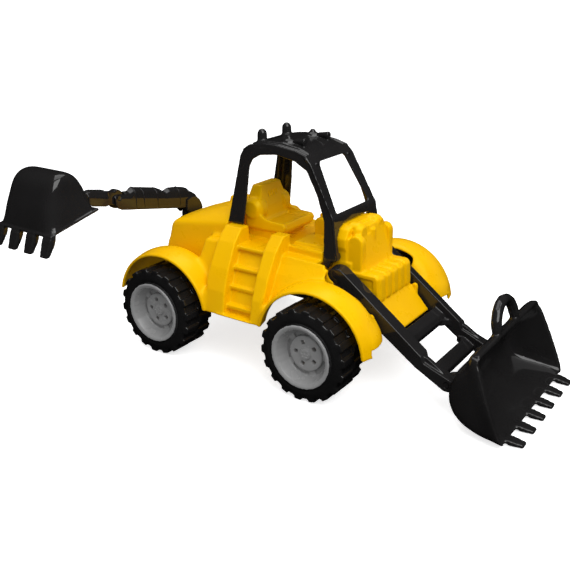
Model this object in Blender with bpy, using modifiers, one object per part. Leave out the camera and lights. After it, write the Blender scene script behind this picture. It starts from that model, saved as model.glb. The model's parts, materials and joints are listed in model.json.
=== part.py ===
"""Toy backhoe loader: a moulded body on a chassis, a cab frame, a front loader and a swinging backhoe.

Metres, +Z up, +X towards the loader bucket, y = 0 in the plane of symmetry. Heights are above the floor.
The root empty then lowers everything, so that the origin is the centre of the chassis's flat underside.
"""

import math

import bmesh
import bpy
from mathutils import Matrix, Vector

MM = 0.001

# Clearances
GAP = 0.3 * MM
PIN_PLAY = 0.4 * MM
SIDE_PLAY = 1.0 * MM
END_PLAY = 1.5 * MM
# How far a shape reaches past another that it joins or cuts, so that no two faces share a plane.
OVERRUN = 2.0 * MM

# Walls
WALL = 3.0 * MM
CAB_WALL = 3.4 * MM
BUCKET_WALL = 3.0 * MM
BOOM_WALL = 3.5 * MM

# Wheels
WHEELBASE = 218 * MM
WHEEL_CENTRE_Y = 106 * MM
TYRE_RADIUS = 55 * MM
TYRE_WIDTH = 50 * MM
TYRE_FLANK = 7 * MM
LUG_HEIGHT = 3.5 * MM
LUG_COUNT = 18
BEAD_RADIUS = 36.5 * MM
RIM_LIP = 1.4 * MM
RIM_WALL = 2.6 * MM
DISH_DEPTH = 13 * MM
DISC_THICKNESS = 5 * MM
DISC_STEP = 1.6 * MM
SLOT_DEPTH = 3.8 * MM
SLOT_INNER_RADIUS = 21.5 * MM
SLOT_OUTER_RADIUS = 27 * MM
SPOKE_COUNT = 5
SPOKE_ANGLE = math.radians(20)
STUD_HOLE_RADIUS = 13.2 * MM
STUD_HOLE_SIDE = 4.6 * MM
CAP_RADIUS = 7 * MM
CAP_HEIGHT = 4 * MM
AXLE_RADIUS = 2.5 * MM
AXLE_CAP = 5 * MM
HUB_BOSS_WALL = 3.5 * MM

# Chassis
UNDERSIDE_HEIGHT = 72 * MM
SPINE_DEPTH = 12 * MM
SPINE_HALF_WIDTH = 22 * MM
SPINE_FRONT_X = 128 * MM
HANGER_LENGTH = 24 * MM
HANGER_THICKNESS = 7 * MM
HANGER_WALL = 6 * MM
BOSS_RADIUS = 5 * MM
BOSS_Y = 13 * MM

# Body
SILL_Z = 68 * MM
SILL_Y = 115 * MM
FLOOR_Z = 143 * MM
FLOOR_RISE, FLOOR_FALL = 1.5 * MM, 4 * MM
SEAT_Z = 162.5 * MM
TUB_BACK_X = -72 * MM
TUB_FRONT_X = 118 * MM
TUB_BULKHEAD_X = 82 * MM
FRONT_EDGE_X = 151 * MM
FRONT_EDGE_Z = 71 * MM
FRONT_CORNER_Y = 100 * MM
FRONT_CORNER_Z = 61.5 * MM
HOOD_REAR_X = -143 * MM
HOOD_SHOULDER_Z = 151 * MM
HOOD_HALF_WIDTH = 52 * MM
HOOD_FLARE = 8 * MM
HOOD_REAR_SLOPE = 0.16
FENDER_CLEARANCE = 16 * MM
FENDER_LIP = 4 * MM
STEP_TREAD = 5 * MM

# Engine and apron
ENGINE_BACK_X = 94 * MM
ENGINE_FRONT_X = 153 * MM
ENGINE_HALF_WIDTH = 41 * MM
ENGINE_SHELF_Z = 129 * MM
ENGINE_TOP_Z = 177 * MM
ENGINE_FOOT_Z = 98 * MM
APRON_FRONT_X = 181 * MM
GRILLE_RIB = 2.5 * MM
LAMP_Y = 20.6 * MM
LAMP_Z = 172 * MM
LAMP_RADIUS = 10.5 * MM
LAMP_BACK_X, LAMP_FRONT_X = 106 * MM, 123.5 * MM

# Cab
CAB_FOOT_HALF_WIDTH = 53 * MM
CAB_ROOF_HALF_WIDTH = 46 * MM
CAB_FOOT_Z = 130 * MM
CAB_ROOF_Z = 255 * MM
BEACON_RADIUS = 6 * MM
BEACON_X = -15.6 * MM
ROOF_LAMP_X = 22.4 * MM
ROOF_LAMP_RADIUS = 8 * MM
ROOF_GEAR_Y = 25.6 * MM

# Loader
RAIL_CLEARANCE = 4 * MM
RAIL_WIDTH = 15 * MM
RAIL_TOP_FALL = 3.5 * MM
RAIL_HEEL_RADIUS = 16.5 * MM
RAIL_TIP_RADIUS = 8 * MM
LOADER_PIVOT = (110 * MM, 122 * MM)
LOADER_PIN_RADIUS = 4 * MM
TILT_PIVOT = (251 * MM, 32 * MM)
TILT_PIN_RADIUS = 3 * MM
BUCKET_HALF_WIDTH = 96 * MM
BUCKET_TOP_NARROWING = 5 * MM
BUCKET_BACK_NARROWING = 7 * MM
BUCKET_RIM = 2.2 * MM
BUCKET_LIP = 6.4 * MM
BUCKET_EAR_WIDTH = 8 * MM
BUCKET_TOOTH_COUNT = 6
BUCKET_TOOTH_PITCH = 30.6 * MM
BUCKET_TOOTH_WIDTH = 14 * MM
BUCKET_TOOTH_LENGTH = 16 * MM
HANDLE_HALF_WIDTH = 27 * MM
HANDLE_HEIGHT = 35 * MM
HANDLE_RADIUS = 5.5 * MM
HANDLE_LEAN = 0.22

# Backhoe
SWING_X = -159 * MM
SWING_PIN_RADIUS = 4 * MM
SWING_PIN_LENGTH = 24 * MM
PEDESTAL_TOP_Z = 140 * MM
TURNTABLE_RADIUS = 9 * MM
TURNTABLE_HEIGHT = 6 * MM
BOOM_HALF_WIDTH = 8 * MM
TONGUE_HALF_WIDTH = 4.5 * MM
KNUCKLE_RADIUS = 6.5 * MM
ARM_PIN_RADIUS = 2.5 * MM
BOOM_FOOT = (0 * MM, 160 * MM)
ELBOW = (132 * MM, 195 * MM)
WRIST = (188 * MM, 207 * MM)
HOE_HALF_WIDTH = 36 * MM
HOE_FLARE = 0.2
HOE_WALL = 3 * MM
HOE_EAR_WIDTH = 3.5 * MM
HOE_RIM_DEPTH = 3 * MM
HOE_RIM_WIDTH = 1.5 * MM
HOE_TOOTH_COUNT = 4
HOE_TOOTH_WIDTH = 13 * MM
HOE_TOOTH_OVERHANG = 2.4 * MM
HOE_TOOTH_LENGTH = 21 * MM

AXLE_X = WHEELBASE / 2
AXLE_Z = TYRE_RADIUS
FENDER_RADIUS = TYRE_RADIUS + FENDER_CLEARANCE
RAIL_INNER_Y = ENGINE_HALF_WIDTH + RAIL_CLEARANCE
RAIL_OUTER_Y = RAIL_INNER_Y + RAIL_WIDTH
SLOT_OUTER_Y = RAIL_OUTER_Y + 2 * SIDE_PLAY
HUB_FACE = TYRE_WIDTH / 2 - DISH_DEPTH
SPINE_TOP_Z = UNDERSIDE_HEIGHT + SPINE_DEPTH
FORK_HALF_GAP = TONGUE_HALF_WIDTH + SIDE_PLAY

# name: base colour, roughness, metallic
COLOURS = {
    "yellow": ((0.93, 0.50, 0.0, 1), 0.32, 0.0),
    "black": ((0.012, 0.012, 0.013, 1), 0.35, 0.0),
    "rubber": ((0.012, 0.012, 0.012, 1), 0.6, 0.0),
    "grey": ((0.42, 0.42, 0.42, 1), 0.4, 0.0),
    "steel": ((0.55, 0.55, 0.56, 1), 0.3, 1.0),
}

# How a flat outline is stood up: pulled along X it lies in (y, z), along Y in (x, z), along Z in (x, y).
STANDING = {
    "X": Matrix(((0, 0, 1), (1, 0, 0), (0, 1, 0))).to_4x4(),
    "Y": Matrix(((1, 0, 0), (0, 0, -1), (0, 1, 0))).to_4x4(),
    "Z": Matrix.Identity(4),
}


def mm(*values):
    return tuple(value * MM for value in values)


def mix(a, b, share):
    return a + (b - a) * share


def arc(centre, radius, start, end, steps):
    """Points of an arc, its angles in degrees."""
    points = []
    for i in range(steps + 1):
        angle = math.radians(mix(start, end, i / steps))
        points.append((centre[0] + radius * math.cos(angle), centre[1] + radius * math.sin(angle)))
    return points


# ---- scene --------------------------------------------------------------------


def clear_scene():
    for obj in list(bpy.data.objects):
        bpy.data.objects.remove(obj)


def new_collection(name):
    collection = bpy.data.collections.new(name)
    bpy.context.scene.collection.children.link(collection)
    return collection


def new_material(name):
    colour, roughness, metallic = COLOURS[name]
    material = bpy.data.materials.new(name)
    material.use_nodes = True
    shader = material.node_tree.nodes["Principled BSDF"]
    shader.inputs["Base Color"].default_value = colour
    shader.inputs["Roughness"].default_value = roughness
    shader.inputs["Metallic"].default_value = metallic
    material.diffuse_color = colour
    return material


clear_scene()
PARTS = new_collection("toy_backhoe_loader")
CUTTERS = new_collection("cutters")
MATERIALS = {name: new_material(name) for name in COLOURS}


def new_empty(name, location, parent=None):
    empty = bpy.data.objects.new(name, None)
    bpy.context.scene.collection.objects.link(empty)
    empty.location = location
    if parent:
        empty.parent = parent
        empty.location = Vector(location) - parent.matrix_world.translation
    bpy.context.view_layer.update()
    return empty


ROOT = new_empty("root", (0, 0, 0))


# ---- shapes: each is a hidden helper until piece() shows it ---------------------


def shape_from(name, bm):
    bmesh.ops.recalc_face_normals(bm, faces=bm.faces)
    mesh = bpy.data.meshes.new(name)
    bm.to_mesh(mesh)
    bm.free()
    return shape_of(name, mesh)


def shape_of(name, data):
    shape = bpy.data.objects.new(name, data)
    CUTTERS.objects.link(shape)
    shape.parent = ROOT
    shape.hide_render = True
    shape.display_type = "WIRE"
    return shape


def block(name, low, high):
    """An upright box between two corners."""
    size = [b - a for a, b in zip(low, high)]
    centre = [(a + b) / 2 for a, b in zip(low, high)]
    bm = bmesh.new()
    bmesh.ops.create_cube(bm, size=1, matrix=Matrix.Translation(centre) @ Matrix.Diagonal((*size, 1)))
    return shape_from(name, bm)


def rod(name, centre, radius, length, axis="Y", steps=16, end_radius=None):
    """A cylinder or a cone along a world axis."""
    bm = bmesh.new()
    bmesh.ops.create_cone(
        bm,
        cap_ends=True,
        segments=steps,
        radius1=radius,
        radius2=radius if end_radius is None else end_radius,
        depth=length,
        matrix=Matrix.Translation(centre) @ STANDING[axis],
    )
    return shape_from(name, bm)


def plate(name, outline, low, high, axis="Y"):
    """A flat outline with thickness, pulled along a world axis from low to high."""
    curve = bpy.data.curves.new(name, "CURVE")
    curve.dimensions = "2D"
    curve.fill_mode = "BOTH"
    curve.extrude = (high - low) / 2
    spline = curve.splines.new("POLY")
    spline.points.add(len(outline) - 1)
    spline.use_cyclic_u = True
    for point, (u, v) in zip(spline.points, outline):
        point.co = (u, v, 0, 1)
    middle = Vector([(low + high) / 2 if name == axis else 0 for name in "XYZ"])
    return curve_to_shape(name, curve, Matrix.Translation(middle) @ STANDING[axis])


def tube(name, path, radius, sides=2):
    """A round bar along a path of straight runs."""
    curve = bpy.data.curves.new(name, "CURVE")
    curve.dimensions = "3D"
    curve.bevel_depth = radius
    curve.bevel_resolution = sides
    curve.use_fill_caps = True
    spline = curve.splines.new("POLY")
    spline.points.add(len(path) - 1)
    for point, place in zip(spline.points, path):
        point.co = (*place, 1)
    return curve_to_shape(name, curve, Matrix.Identity(4))


def curve_to_shape(name, curve, matrix):
    """The mesh of a curve, welded, so that it can be joined and cut."""
    source = bpy.data.objects.new(name, curve)
    bpy.context.scene.collection.objects.link(source)
    evaluated = source.evaluated_get(bpy.context.evaluated_depsgraph_get())
    mesh = bpy.data.meshes.new_from_object(evaluated)
    bpy.data.objects.remove(source)
    mesh.transform(matrix)
    bm = bmesh.new()
    bm.from_mesh(mesh)
    bmesh.ops.remove_doubles(bm, verts=bm.verts, dist=0.01 * MM)
    return shape_from(name, bm)


def loft(name, sections):
    """A solid through unlike sections of equally many points, closed at both ends."""
    bm = bmesh.new()
    rings = [[bm.verts.new(point) for point in section] for section in sections]
    for ring, following in zip(rings, rings[1:]):
        for i in range(len(ring)):
            j = (i + 1) % len(ring)
            bm.faces.new((ring[i], ring[j], following[j], following[i]))
    bm.faces.new(rings[0])
    bm.faces.new(reversed(rings[-1]))
    # A side that twists between two sections is split into flat triangles.
    sides = [face for face in bm.faces if len(face.verts) == 4]
    bmesh.ops.connect_verts_nonplanar(bm, angle_limit=math.radians(0.05), faces=sides)
    return shape_from(name, bm)


def turned(name, profile, centre, direction="up", steps=28, phase=0):
    """A profile of (radius, height) turned about an axis through centre: up, left (+Y) or right."""
    bm = bmesh.new()
    start = Matrix.Rotation(phase, 3, "Z")
    verts = [bm.verts.new(start @ Vector((radius, 0, height))) for radius, height in profile]
    for a, b in zip(verts, verts[1:]):
        bm.edges.new((a, b))
    mesh = bpy.data.meshes.new(name)
    bm.to_mesh(mesh)
    bm.free()
    shape = shape_of(name, mesh)
    shape.location = centre
    shape.rotation_euler = ({"up": 0, "left": -math.pi / 2, "right": math.pi / 2}[direction], 0, 0)
    screw = shape.modifiers.new("turn", "SCREW")
    screw.steps = steps
    screw.render_steps = steps
    screw.use_merge_vertices = True
    screw.merge_threshold = 0.00005
    return shape


def mirrored(shape):
    """The shape and its mirror image in the plane y = 0."""
    mirror = shape.modifiers.new("both sides", "MIRROR")
    mirror.use_axis = (False, True, False)
    mirror.mirror_object = ROOT
    mirror.merge_threshold = 0.00005
    return shape


def add(obj, *shapes):
    for shape in shapes:
        boolean(obj, shape, "UNION")


def cut(obj, *shapes):
    for shape in shapes:
        boolean(obj, shape, "DIFFERENCE")


def boolean(obj, shape, operation):
    modifier = obj.modifiers.new(f"{operation.lower()} {shape.name}", "BOOLEAN")
    modifier.operation = operation
    modifier.object = shape
    modifier.solver = "EXACT"


def piece(name, shape, material, joint=None, smooth=False):
    """Shows a helper as a piece of the toy, carried by the empty on its joint's axis."""
    CUTTERS.objects.unlink(shape)
    PARTS.objects.link(shape)
    shape.name = name
    shape.hide_render = False
    shape.display_type = "TEXTURED"
    shape.data.materials.append(MATERIALS[material])
    if smooth:
        shape.data.shade_smooth()
        shape.data.set_sharp_from_angle(angle=math.radians(35))
    if joint:
        shape.parent = joint
        shape.location = shape.location - joint.matrix_world.translation
    return shape


# ---- wheels -------------------------------------------------------------------


def tyre_rows():
    """The tyre's section from bead to bead: (across, radius, how far a lug lifts it, which half)."""
    half = TYRE_WIDTH / 2
    crown = TYRE_RADIUS - LUG_HEIGHT
    outer = (
        (half - 1.3 * MM, BEAD_RADIUS, 0),
        (half - 0.2 * MM, BEAD_RADIUS + TYRE_FLANK, 0),
        (half - 1.2 * MM, TYRE_RADIUS - TYRE_FLANK, 0),
        (half - 2.6 * MM, crown, LUG_HEIGHT),
        (0.6 * MM, crown + 0.5 * MM, LUG_HEIGHT - 0.5 * MM),
    )
    rows = [(across, radius, lift, "outer") for across, radius, lift in outer]
    return rows + [(-across, radius, lift, "inner") for across, radius, lift in reversed(outer)]


def tyre_shape(name, centre, outward):
    """A carcass with staggered lugs: round it, a lug on the outer half follows one on the inner."""
    pitch = 2 * math.pi / LUG_COUNT
    bm = bmesh.new()
    rings = []
    for lug in range(LUG_COUNT):
        for share, raised in ((0.03, "outer"), (0.47, "outer"), (0.53, "inner"), (0.97, "inner")):
            angle = (lug + share) * pitch
            ring = []
            for across, radius, lift, half in tyre_rows():
                reach = radius + (lift if half == raised else 0)
                point = (reach * math.cos(angle), outward * across, reach * math.sin(angle))
                ring.append(bm.verts.new(point))
            rings.append(ring)
    for ring, following in zip(rings, rings[1:] + rings[:1]):
        for i in range(len(ring)):
            j = (i + 1) % len(ring)
            bm.faces.new((ring[i], ring[j], following[j], following[i]))
    shape = shape_from(name, bm)
    shape.location = centre
    return shape


def hub_profile():
    """(radius, across) down the outside of the cupped hub, then back up its hollow inner side."""
    outer = TYRE_WIDTH / 2
    bead = outer - 1.3 * MM
    seat = BEAD_RADIUS - GAP
    cap = HUB_FACE + CAP_HEIGHT
    bore = AXLE_RADIUS + PIN_PLAY
    return (
        (0, cap),
        (CAP_RADIUS - 1 * MM, cap),
        (CAP_RADIUS, cap - 1 * MM),
        (CAP_RADIUS, HUB_FACE + DISC_STEP),
        (SLOT_INNER_RADIUS - 1 * MM, HUB_FACE + DISC_STEP),
        (SLOT_INNER_RADIUS - 0.2 * MM, HUB_FACE + DISC_STEP - 0.8 * MM),
        (SLOT_INNER_RADIUS - 0.2 * MM, HUB_FACE - DISC_STEP / 2),
        (SLOT_OUTER_RADIUS, HUB_FACE - DISC_STEP / 2),
        (seat - RIM_WALL - 1 * MM, outer),
        (seat - 1 * MM, outer + RIM_LIP),
        (seat + RIM_LIP, outer + RIM_LIP),
        (seat + RIM_LIP, bead + GAP),
        (seat, bead + GAP),
        (seat, -bead),
        (seat - RIM_WALL, -bead),
        (seat - RIM_WALL, HUB_FACE - DISC_THICKNESS),
        (bore + HUB_BOSS_WALL, HUB_FACE - DISC_THICKNESS),
        (bore + HUB_BOSS_WALL, -bead),
        (bore, -bead),
        (bore, cap - AXLE_CAP),
        (0, cap - AXLE_CAP),
    )


def hub_openings(name, centre, outward):
    """The curved recesses near the rim and the square holes between them and the cap."""
    bm = bmesh.new()
    half_angle = math.degrees(math.pi / SPOKE_COUNT - SPOKE_ANGLE / 2)
    through = 2 * DISC_THICKNESS
    for i in range(SPOKE_COUNT):
        middle = 360 * (i + 0.5) / SPOKE_COUNT
        outline = arc((0, 0), SLOT_INNER_RADIUS, middle - half_angle, middle + half_angle, 3)
        outline += arc((0, 0), SLOT_OUTER_RADIUS - 0.5 * MM, middle + half_angle, middle - half_angle, 3)
        rings = [[bm.verts.new((x, y, HUB_FACE + z)) for x, y in outline] for z in (-SLOT_DEPTH, through)]
        for j in range(len(outline)):
            k = (j + 1) % len(outline)
            bm.faces.new((rings[0][j], rings[0][k], rings[1][k], rings[1][j]))
        bm.faces.new(rings[0])
        bm.faces.new(reversed(rings[1]))
        turn = Matrix.Rotation(math.radians(middle), 4, "Z")
        place = turn @ Matrix.Translation((STUD_HOLE_RADIUS, 0, HUB_FACE))
        size = Matrix.Diagonal((STUD_HOLE_SIDE, STUD_HOLE_SIDE, 2 * through, 1))
        bmesh.ops.create_cube(bm, size=1, matrix=place @ size)
    shape = shape_from(name, bm)
    shape.location = centre
    shape.rotation_euler = (-outward * math.pi / 2, 0, 0)
    return shape


def make_wheel(name, x, outward):
    centre = (x, outward * WHEEL_CENTRE_Y, AXLE_Z)
    joint = new_empty(f"{name}_wheel_axis", centre, ROOT)
    piece(f"{name}_tyre", tyre_shape("tyre", centre, outward), "rubber", joint, smooth=True)
    hub = turned("hub", hub_profile(), centre, "left" if outward > 0 else "right", 24)
    piece(f"{name}_hub", hub, "grey", joint)
    cut(hub, hub_openings(f"{name}_hub_openings", centre, outward))


def make_axle(name, x):
    reach = WHEEL_CENTRE_Y + HUB_FACE + CAP_HEIGHT - AXLE_CAP - SIDE_PLAY
    piece(name, rod(name, (x, 0, AXLE_Z), AXLE_RADIUS, 2 * reach), "steel", smooth=True)


def make_wheels():
    for end, x in (("front", AXLE_X), ("rear", -AXLE_X)):
        make_axle(f"{end}_axle", x)
        make_wheel(f"{end}_right", x, -1)
        make_wheel(f"{end}_left", x, 1)


# ---- chassis ------------------------------------------------------------------


def hood_rear_x(z):
    """The hood's rear face, which slopes back towards its foot."""
    return HOOD_REAR_X - HOOD_REAR_SLOPE * (HOOD_SHOULDER_Z - z)


def hanger(x):
    """A plate that reaches down from the spine to a round end about the axle."""
    half = HANGER_LENGTH / 2
    top = UNDERSIDE_HEIGHT + SPINE_DEPTH / 2
    outline = [(x - half, top), *arc((x, AXLE_Z), AXLE_RADIUS + HANGER_WALL, -170, -10, 6), (x + half, top)]
    outer = SPINE_HALF_WIDTH - 1 * MM
    return mirrored(plate("hanger", outline, outer - HANGER_THICKNESS, outer))


def rear_frame():
    """The upright plate behind the hood, its cheeks sloping outwards from beside the swinging post."""
    low, middle = SPINE_TOP_Z - 4 * MM, PEDESTAL_TOP_Z - 1 * MM
    half = [(30 * MM, low), mm(30, 140), mm(26, 147), mm(18, 149), mm(14, 147), (12 * MM, middle)]
    outline = [(-y, z) for y, z in half] + [(y, z) for y, z in reversed(half)]
    shape = plate("rear_frame", outline, -GAP - 3.4 * MM, -GAP, "X")
    # The plate leans with the hood's rear face.
    shape.location = (hood_rear_x(low), 0, low)
    shape.rotation_euler = (0, math.atan(HOOD_REAR_SLOPE), 0)
    for vertex in shape.data.vertices:
        vertex.co.z -= low
    return shape


def pedestal():
    """The post behind the hood that carries the swing pin; its front leans with the hood."""
    half = TURNTABLE_RADIUS - 0.5 * MM
    foot = SPINE_TOP_Z - OVERRUN
    outline = [(SWING_X - half, foot), (SWING_X - half, PEDESTAL_TOP_Z), (SWING_X + half, PEDESTAL_TOP_Z),
               (hood_rear_x(foot) - 2 * GAP, foot)]
    return plate("pedestal", outline, -half, half)


def make_chassis():
    back = SWING_X - TURNTABLE_RADIUS
    spine = block("spine", (back, -SPINE_HALF_WIDTH, UNDERSIDE_HEIGHT),
                  (SPINE_FRONT_X, SPINE_HALF_WIDTH, SPINE_TOP_Z))
    chassis = piece("chassis", spine, "black")
    add(chassis, hanger(AXLE_X), hanger(-AXLE_X), rear_frame(), pedestal())
    depth = SWING_PIN_LENGTH + END_PLAY
    top = PEDESTAL_TOP_Z + OVERRUN
    centre = (SWING_X, 0, (PEDESTAL_TOP_Z - depth + top) / 2)
    cut(chassis, rod("swing_bore", centre, SWING_PIN_RADIUS + PIN_PLAY, top - PEDESTAL_TOP_Z + depth, "Z"))
    for x in (AXLE_X, -AXLE_X):
        cut(chassis, rod("axle_bore", (x, 0, AXLE_Z), AXLE_RADIUS + GAP, 4 * SPINE_HALF_WIDTH))


# ---- body ---------------------------------------------------------------------

# Half of the tub's section, (y, z), from the cab floor's edge down to the sill.
SKIRT = [(65 * MM, FLOOR_Z), mm(78, 122), mm(92, 97), (104 * MM, SILL_Z - OVERRUN)]
# The ribs' outer edge, (y, z), from under the cab's rear pillars down to the sill.
RIB = [mm(60.5, 161.7), mm(77, 147), mm(94.6, 120), mm(106.6, 95), (114.6 * MM, SILL_Z - OVERRUN)]
# Each rib: its back and front at the foot, then at the top.
RIBS = [mm(-43, -11, -47, -22), mm(27, 43, 21, 39)]
# Steps: reach from the middle, height of the tread.
STEPS = [mm(73, 143.4), mm(85, 122), mm(95, 101), mm(105.5, 80.6), mm(114.8, 70.5)]
STEP_BACK_X, STEP_FRONT_X = mm(-22, 30)
# The hood's stations: x, height of the side's top edge, height of the crown.
HOOD = [mm(-143, 146, 147), mm(-139, 150, 152.5), mm(-127, 151.5, 157), mm(-104, 154.5, 166),
        mm(-78, 159, 174), mm(-51, 163, 179)]
HOOD_FOOT_Z = SPINE_TOP_Z + 2 * GAP
# The fender's dome from its open side inwards: y, and how much larger or smaller it is than the fender's lip.
FENDER = [(SILL_Y, 0), (97 * MM, FENDER_LIP), (82 * MM, 3 * MM), (71 * MM, -3 * MM), (64 * MM, -13 * MM),
          (58 * MM, -23 * MM)]
FENDER_STEPS = 40


def tub():
    def section(x, floor):
        half = [(y, floor if z == FLOOR_Z else z) for y, z in SKIRT]
        return [(x, -y, z) for y, z in half] + [(x, y, z) for y, z in reversed(half)]

    return loft("tub", [section(TUB_BACK_X, FLOOR_Z + FLOOR_RISE),
                        section(TUB_FRONT_X, FLOOR_Z - FLOOR_FALL)])


def tub_hollow():
    def section(x, floor):
        half = [(y - WALL, floor - WALL if z == FLOOR_Z else z - 1 * MM) for y, z in SKIRT]
        half[-1] = (half[-1][0], SILL_Z - 10 * OVERRUN)
        return [(x, -y, z) for y, z in half] + [(x, y, z) for y, z in reversed(half)]

    back, front = TUB_BACK_X + WALL, TUB_BULKHEAD_X
    return loft("tub_hollow", [section(back, FLOOR_Z + FLOOR_RISE), section(front, FLOOR_Z - FLOOR_FALL)])


def panel_hollow():
    """The hollow behind the panel that reaches forward beside the rail."""
    inner = SLOT_OUTER_Y + WALL
    outline = [(inner, 132 * MM), (inner, SILL_Z - 8 * OVERRUN), (100 * MM, SILL_Z - 8 * OVERRUN), mm(89, 96),
               mm(75, 120), (inner + 1 * MM, 132 * MM)]
    return mirrored(plate("panel_hollow", outline, TUB_BULKHEAD_X - OVERRUN, TUB_FRONT_X - WALL, "X"))


def hood_section(x, edge, crown, inset):
    """A crowned top, sides that flare towards the foot, and a flat foot."""
    side = HOOD_HALF_WIDTH - inset
    foot = HOOD_FOOT_Z - (12 * OVERRUN if inset else 0)
    low, lift = edge - inset, crown - edge
    half = [(side + HOOD_FLARE, foot), (side, low - 3 * MM), (side - 2.5 * MM, low),
            (side - 9 * MM, low + 0.4 * lift),
            (side - 26 * MM, low + 0.85 * lift)]
    points = [(-y, z) for y, z in half] + [(0, low + lift)] + [(y, z) for y, z in reversed(half)]
    slope = HOOD_REAR_SLOPE if x < -120 * MM else 0
    return [(x - slope * (HOOD_SHOULDER_Z - z), y, z) for y, z in points]


def hood():
    return loft("hood", [hood_section(*station, 0) for station in HOOD])


def hood_hollow():
    stations = [(HOOD_REAR_X + WALL, *HOOD[1][1:]), *HOOD[2:-1], (HOOD[-1][0] - WALL, *HOOD[-1][1:])]
    return loft("hood_hollow", [hood_section(*station, WALL) for station in stations])


def fender(x):
    """A dome about the axle, closed on its inner side."""
    profile = [(0, SILL_Y)] + [(FENDER_RADIUS + rise, y) for y, rise in FENDER] + [(0, FENDER[-1][0])]
    return mirrored(turned("fender", profile, (x, 0, AXLE_Z), "left", FENDER_STEPS))


def wheel_well(x):
    """What the wheel turns in, a wall's thickness inside the fender."""
    rows = [(SILL_Y + 10 * OVERRUN, -WALL - 1 * MM), (SILL_Y - 1 * MM, -WALL - 1 * MM)]
    rows += [(y + WALL * max(0, i - 2) / 2, rise - WALL) for i, (y, rise) in enumerate(FENDER) if i]
    profile = [(0, rows[0][0])] + [(FENDER_RADIUS + rise, y) for y, rise in rows] + [(0, rows[-1][0])]
    return mirrored(turned("wheel_well", profile, (x, 0, AXLE_Z), "left", FENDER_STEPS,
                           math.pi / FENDER_STEPS))


def rib(low_foot, high_foot, low_top, high_top):
    inner_y = CAB_ROOF_HALF_WIDTH
    outline = RIB + [(90 * MM, RIB[-1][1]), (inner_y, 120 * MM), (inner_y, RIB[0][1])]
    span = RIB[0][1] - RIB[-1][1]

    def face(foot, top):
        return [(mix(foot, top, (z - RIB[-1][1]) / span), y, z) for y, z in outline]

    return mirrored(loft("rib", [face(low_foot, low_top), face(high_foot, high_top)]))


def step(reach, height):
    low = (STEP_BACK_X, HOOD_HALF_WIDTH - OVERRUN, height - STEP_TREAD)
    return mirrored(block("step", low, (STEP_FRONT_X, reach, height)))


def tank():
    """The box between the hood and the first rib."""
    foot = [(x, y, 100 * MM) for x, y in (mm(-76, 50), mm(-76, 92), mm(-38, 92), mm(-38, 50))]
    top = [(x, y, 145 * MM) for x, y in (mm(-69, 50), mm(-69, 74), mm(-38, 74), mm(-38, 50))]
    return mirrored(loft("tank", [foot, top]))


def front_plate():
    """The flat front beside the rail, which turns back towards the rail's channel."""
    sections = []
    inner_edge = (SLOT_OUTER_Y - 1 * MM, 171 * MM)
    for y, front in inner_edge, mm(67, 176.5), mm(75, 181), mm(85, 183.6), mm(100, 184):
        outline = [(150 * MM, SILL_Z - 4 * OVERRUN), (front, SILL_Z - 4 * OVERRUN),
                   (front - 0.3 * MM, 71 * MM),
                   (front - 2.4 * MM, 79.5 * MM), (front - 7.5 * MM, 88.5 * MM), (front - 14 * MM, 94 * MM),
                   mm(150, 95.5)]
        sections.append([(x, y, z) for x, z in outline])
    return mirrored(loft("front_plate", sections))


def engine_shelf():
    """The lower block, down into the apron that slopes out to the front."""
    outline = [(ENGINE_BACK_X, ENGINE_SHELF_Z), (ENGINE_FRONT_X - 3 * MM, ENGINE_SHELF_Z),
               (ENGINE_FRONT_X, ENGINE_SHELF_Z - 3 * MM), (ENGINE_FRONT_X + 2 * MM, ENGINE_FOOT_Z),
               (APRON_FRONT_X, SILL_Z + 2 * MM), (APRON_FRONT_X, SILL_Z - OVERRUN),
               (ENGINE_BACK_X, SILL_Z - OVERRUN)]
    return plate("engine_shelf", outline, -ENGINE_HALF_WIDTH, ENGINE_HALF_WIDTH)


def engine_hollow():
    back, foot = TUB_BULKHEAD_X - OVERRUN, SILL_Z - 9 * OVERRUN
    top = ENGINE_SHELF_Z - WALL
    outline = [(back, top), (ENGINE_FRONT_X - 3 * MM - WALL, top),
               (ENGINE_FRONT_X - WALL, ENGINE_FOOT_Z - WALL),
               (APRON_FRONT_X - WALL - 1 * MM, SILL_Z), (APRON_FRONT_X - WALL - 1 * MM, foot), (back, foot)]
    inside = ENGINE_HALF_WIDTH - WALL
    return plate("engine_hollow", outline, -inside, inside)


def engine_block(name, inset):
    """The tall block behind the lamps, narrower towards its top."""
    def level(z, half_back, half_front, front):
        back = ENGINE_BACK_X + inset
        return [(back, -half_back + inset, z), (front - inset, -half_front + inset, z),
                (front - inset, half_front - inset, z), (back, half_back - inset, z)]

    foot = ENGINE_SHELF_Z - 4 * OVERRUN
    return loft(name, [level(foot, 38 * MM, 33 * MM, 136 * MM),
                       level(ENGINE_TOP_Z - inset, 31 * MM, 28 * MM, 121 * MM)])


def engine_lamps():
    """A round lamp housing at each side of the engine block's top, rounded off in front."""
    straight = LAMP_FRONT_X - LAMP_BACK_X - 5 * MM
    back = rod("lamp_back", (LAMP_BACK_X + straight / 2, LAMP_Y, LAMP_Z), LAMP_RADIUS, straight, "X", 20)
    nose_x = LAMP_FRONT_X - 2.5 * MM - OVERRUN / 4
    nose = rod("lamp_nose", (nose_x, LAMP_Y, LAMP_Z), LAMP_RADIUS - 0.3 * MM, 6 * MM, "X", 20, 6.5 * MM)
    return [mirrored(back), mirrored(nose)]


def engine_shoulder():
    """The wide back of the engine, which fills the arch of the cab's front."""
    half = [mm(40.3, 124), mm(40.3, 151), mm(42.3, 156), mm(42.3, 166), mm(35.5, 176), mm(25.7, 179.7)]
    outline = [(-y, z) for y, z in half] + [(y, z) for y, z in reversed(half)]
    return plate("engine_shoulder", outline, 91 * MM, 111.5 * MM, "X")


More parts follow.
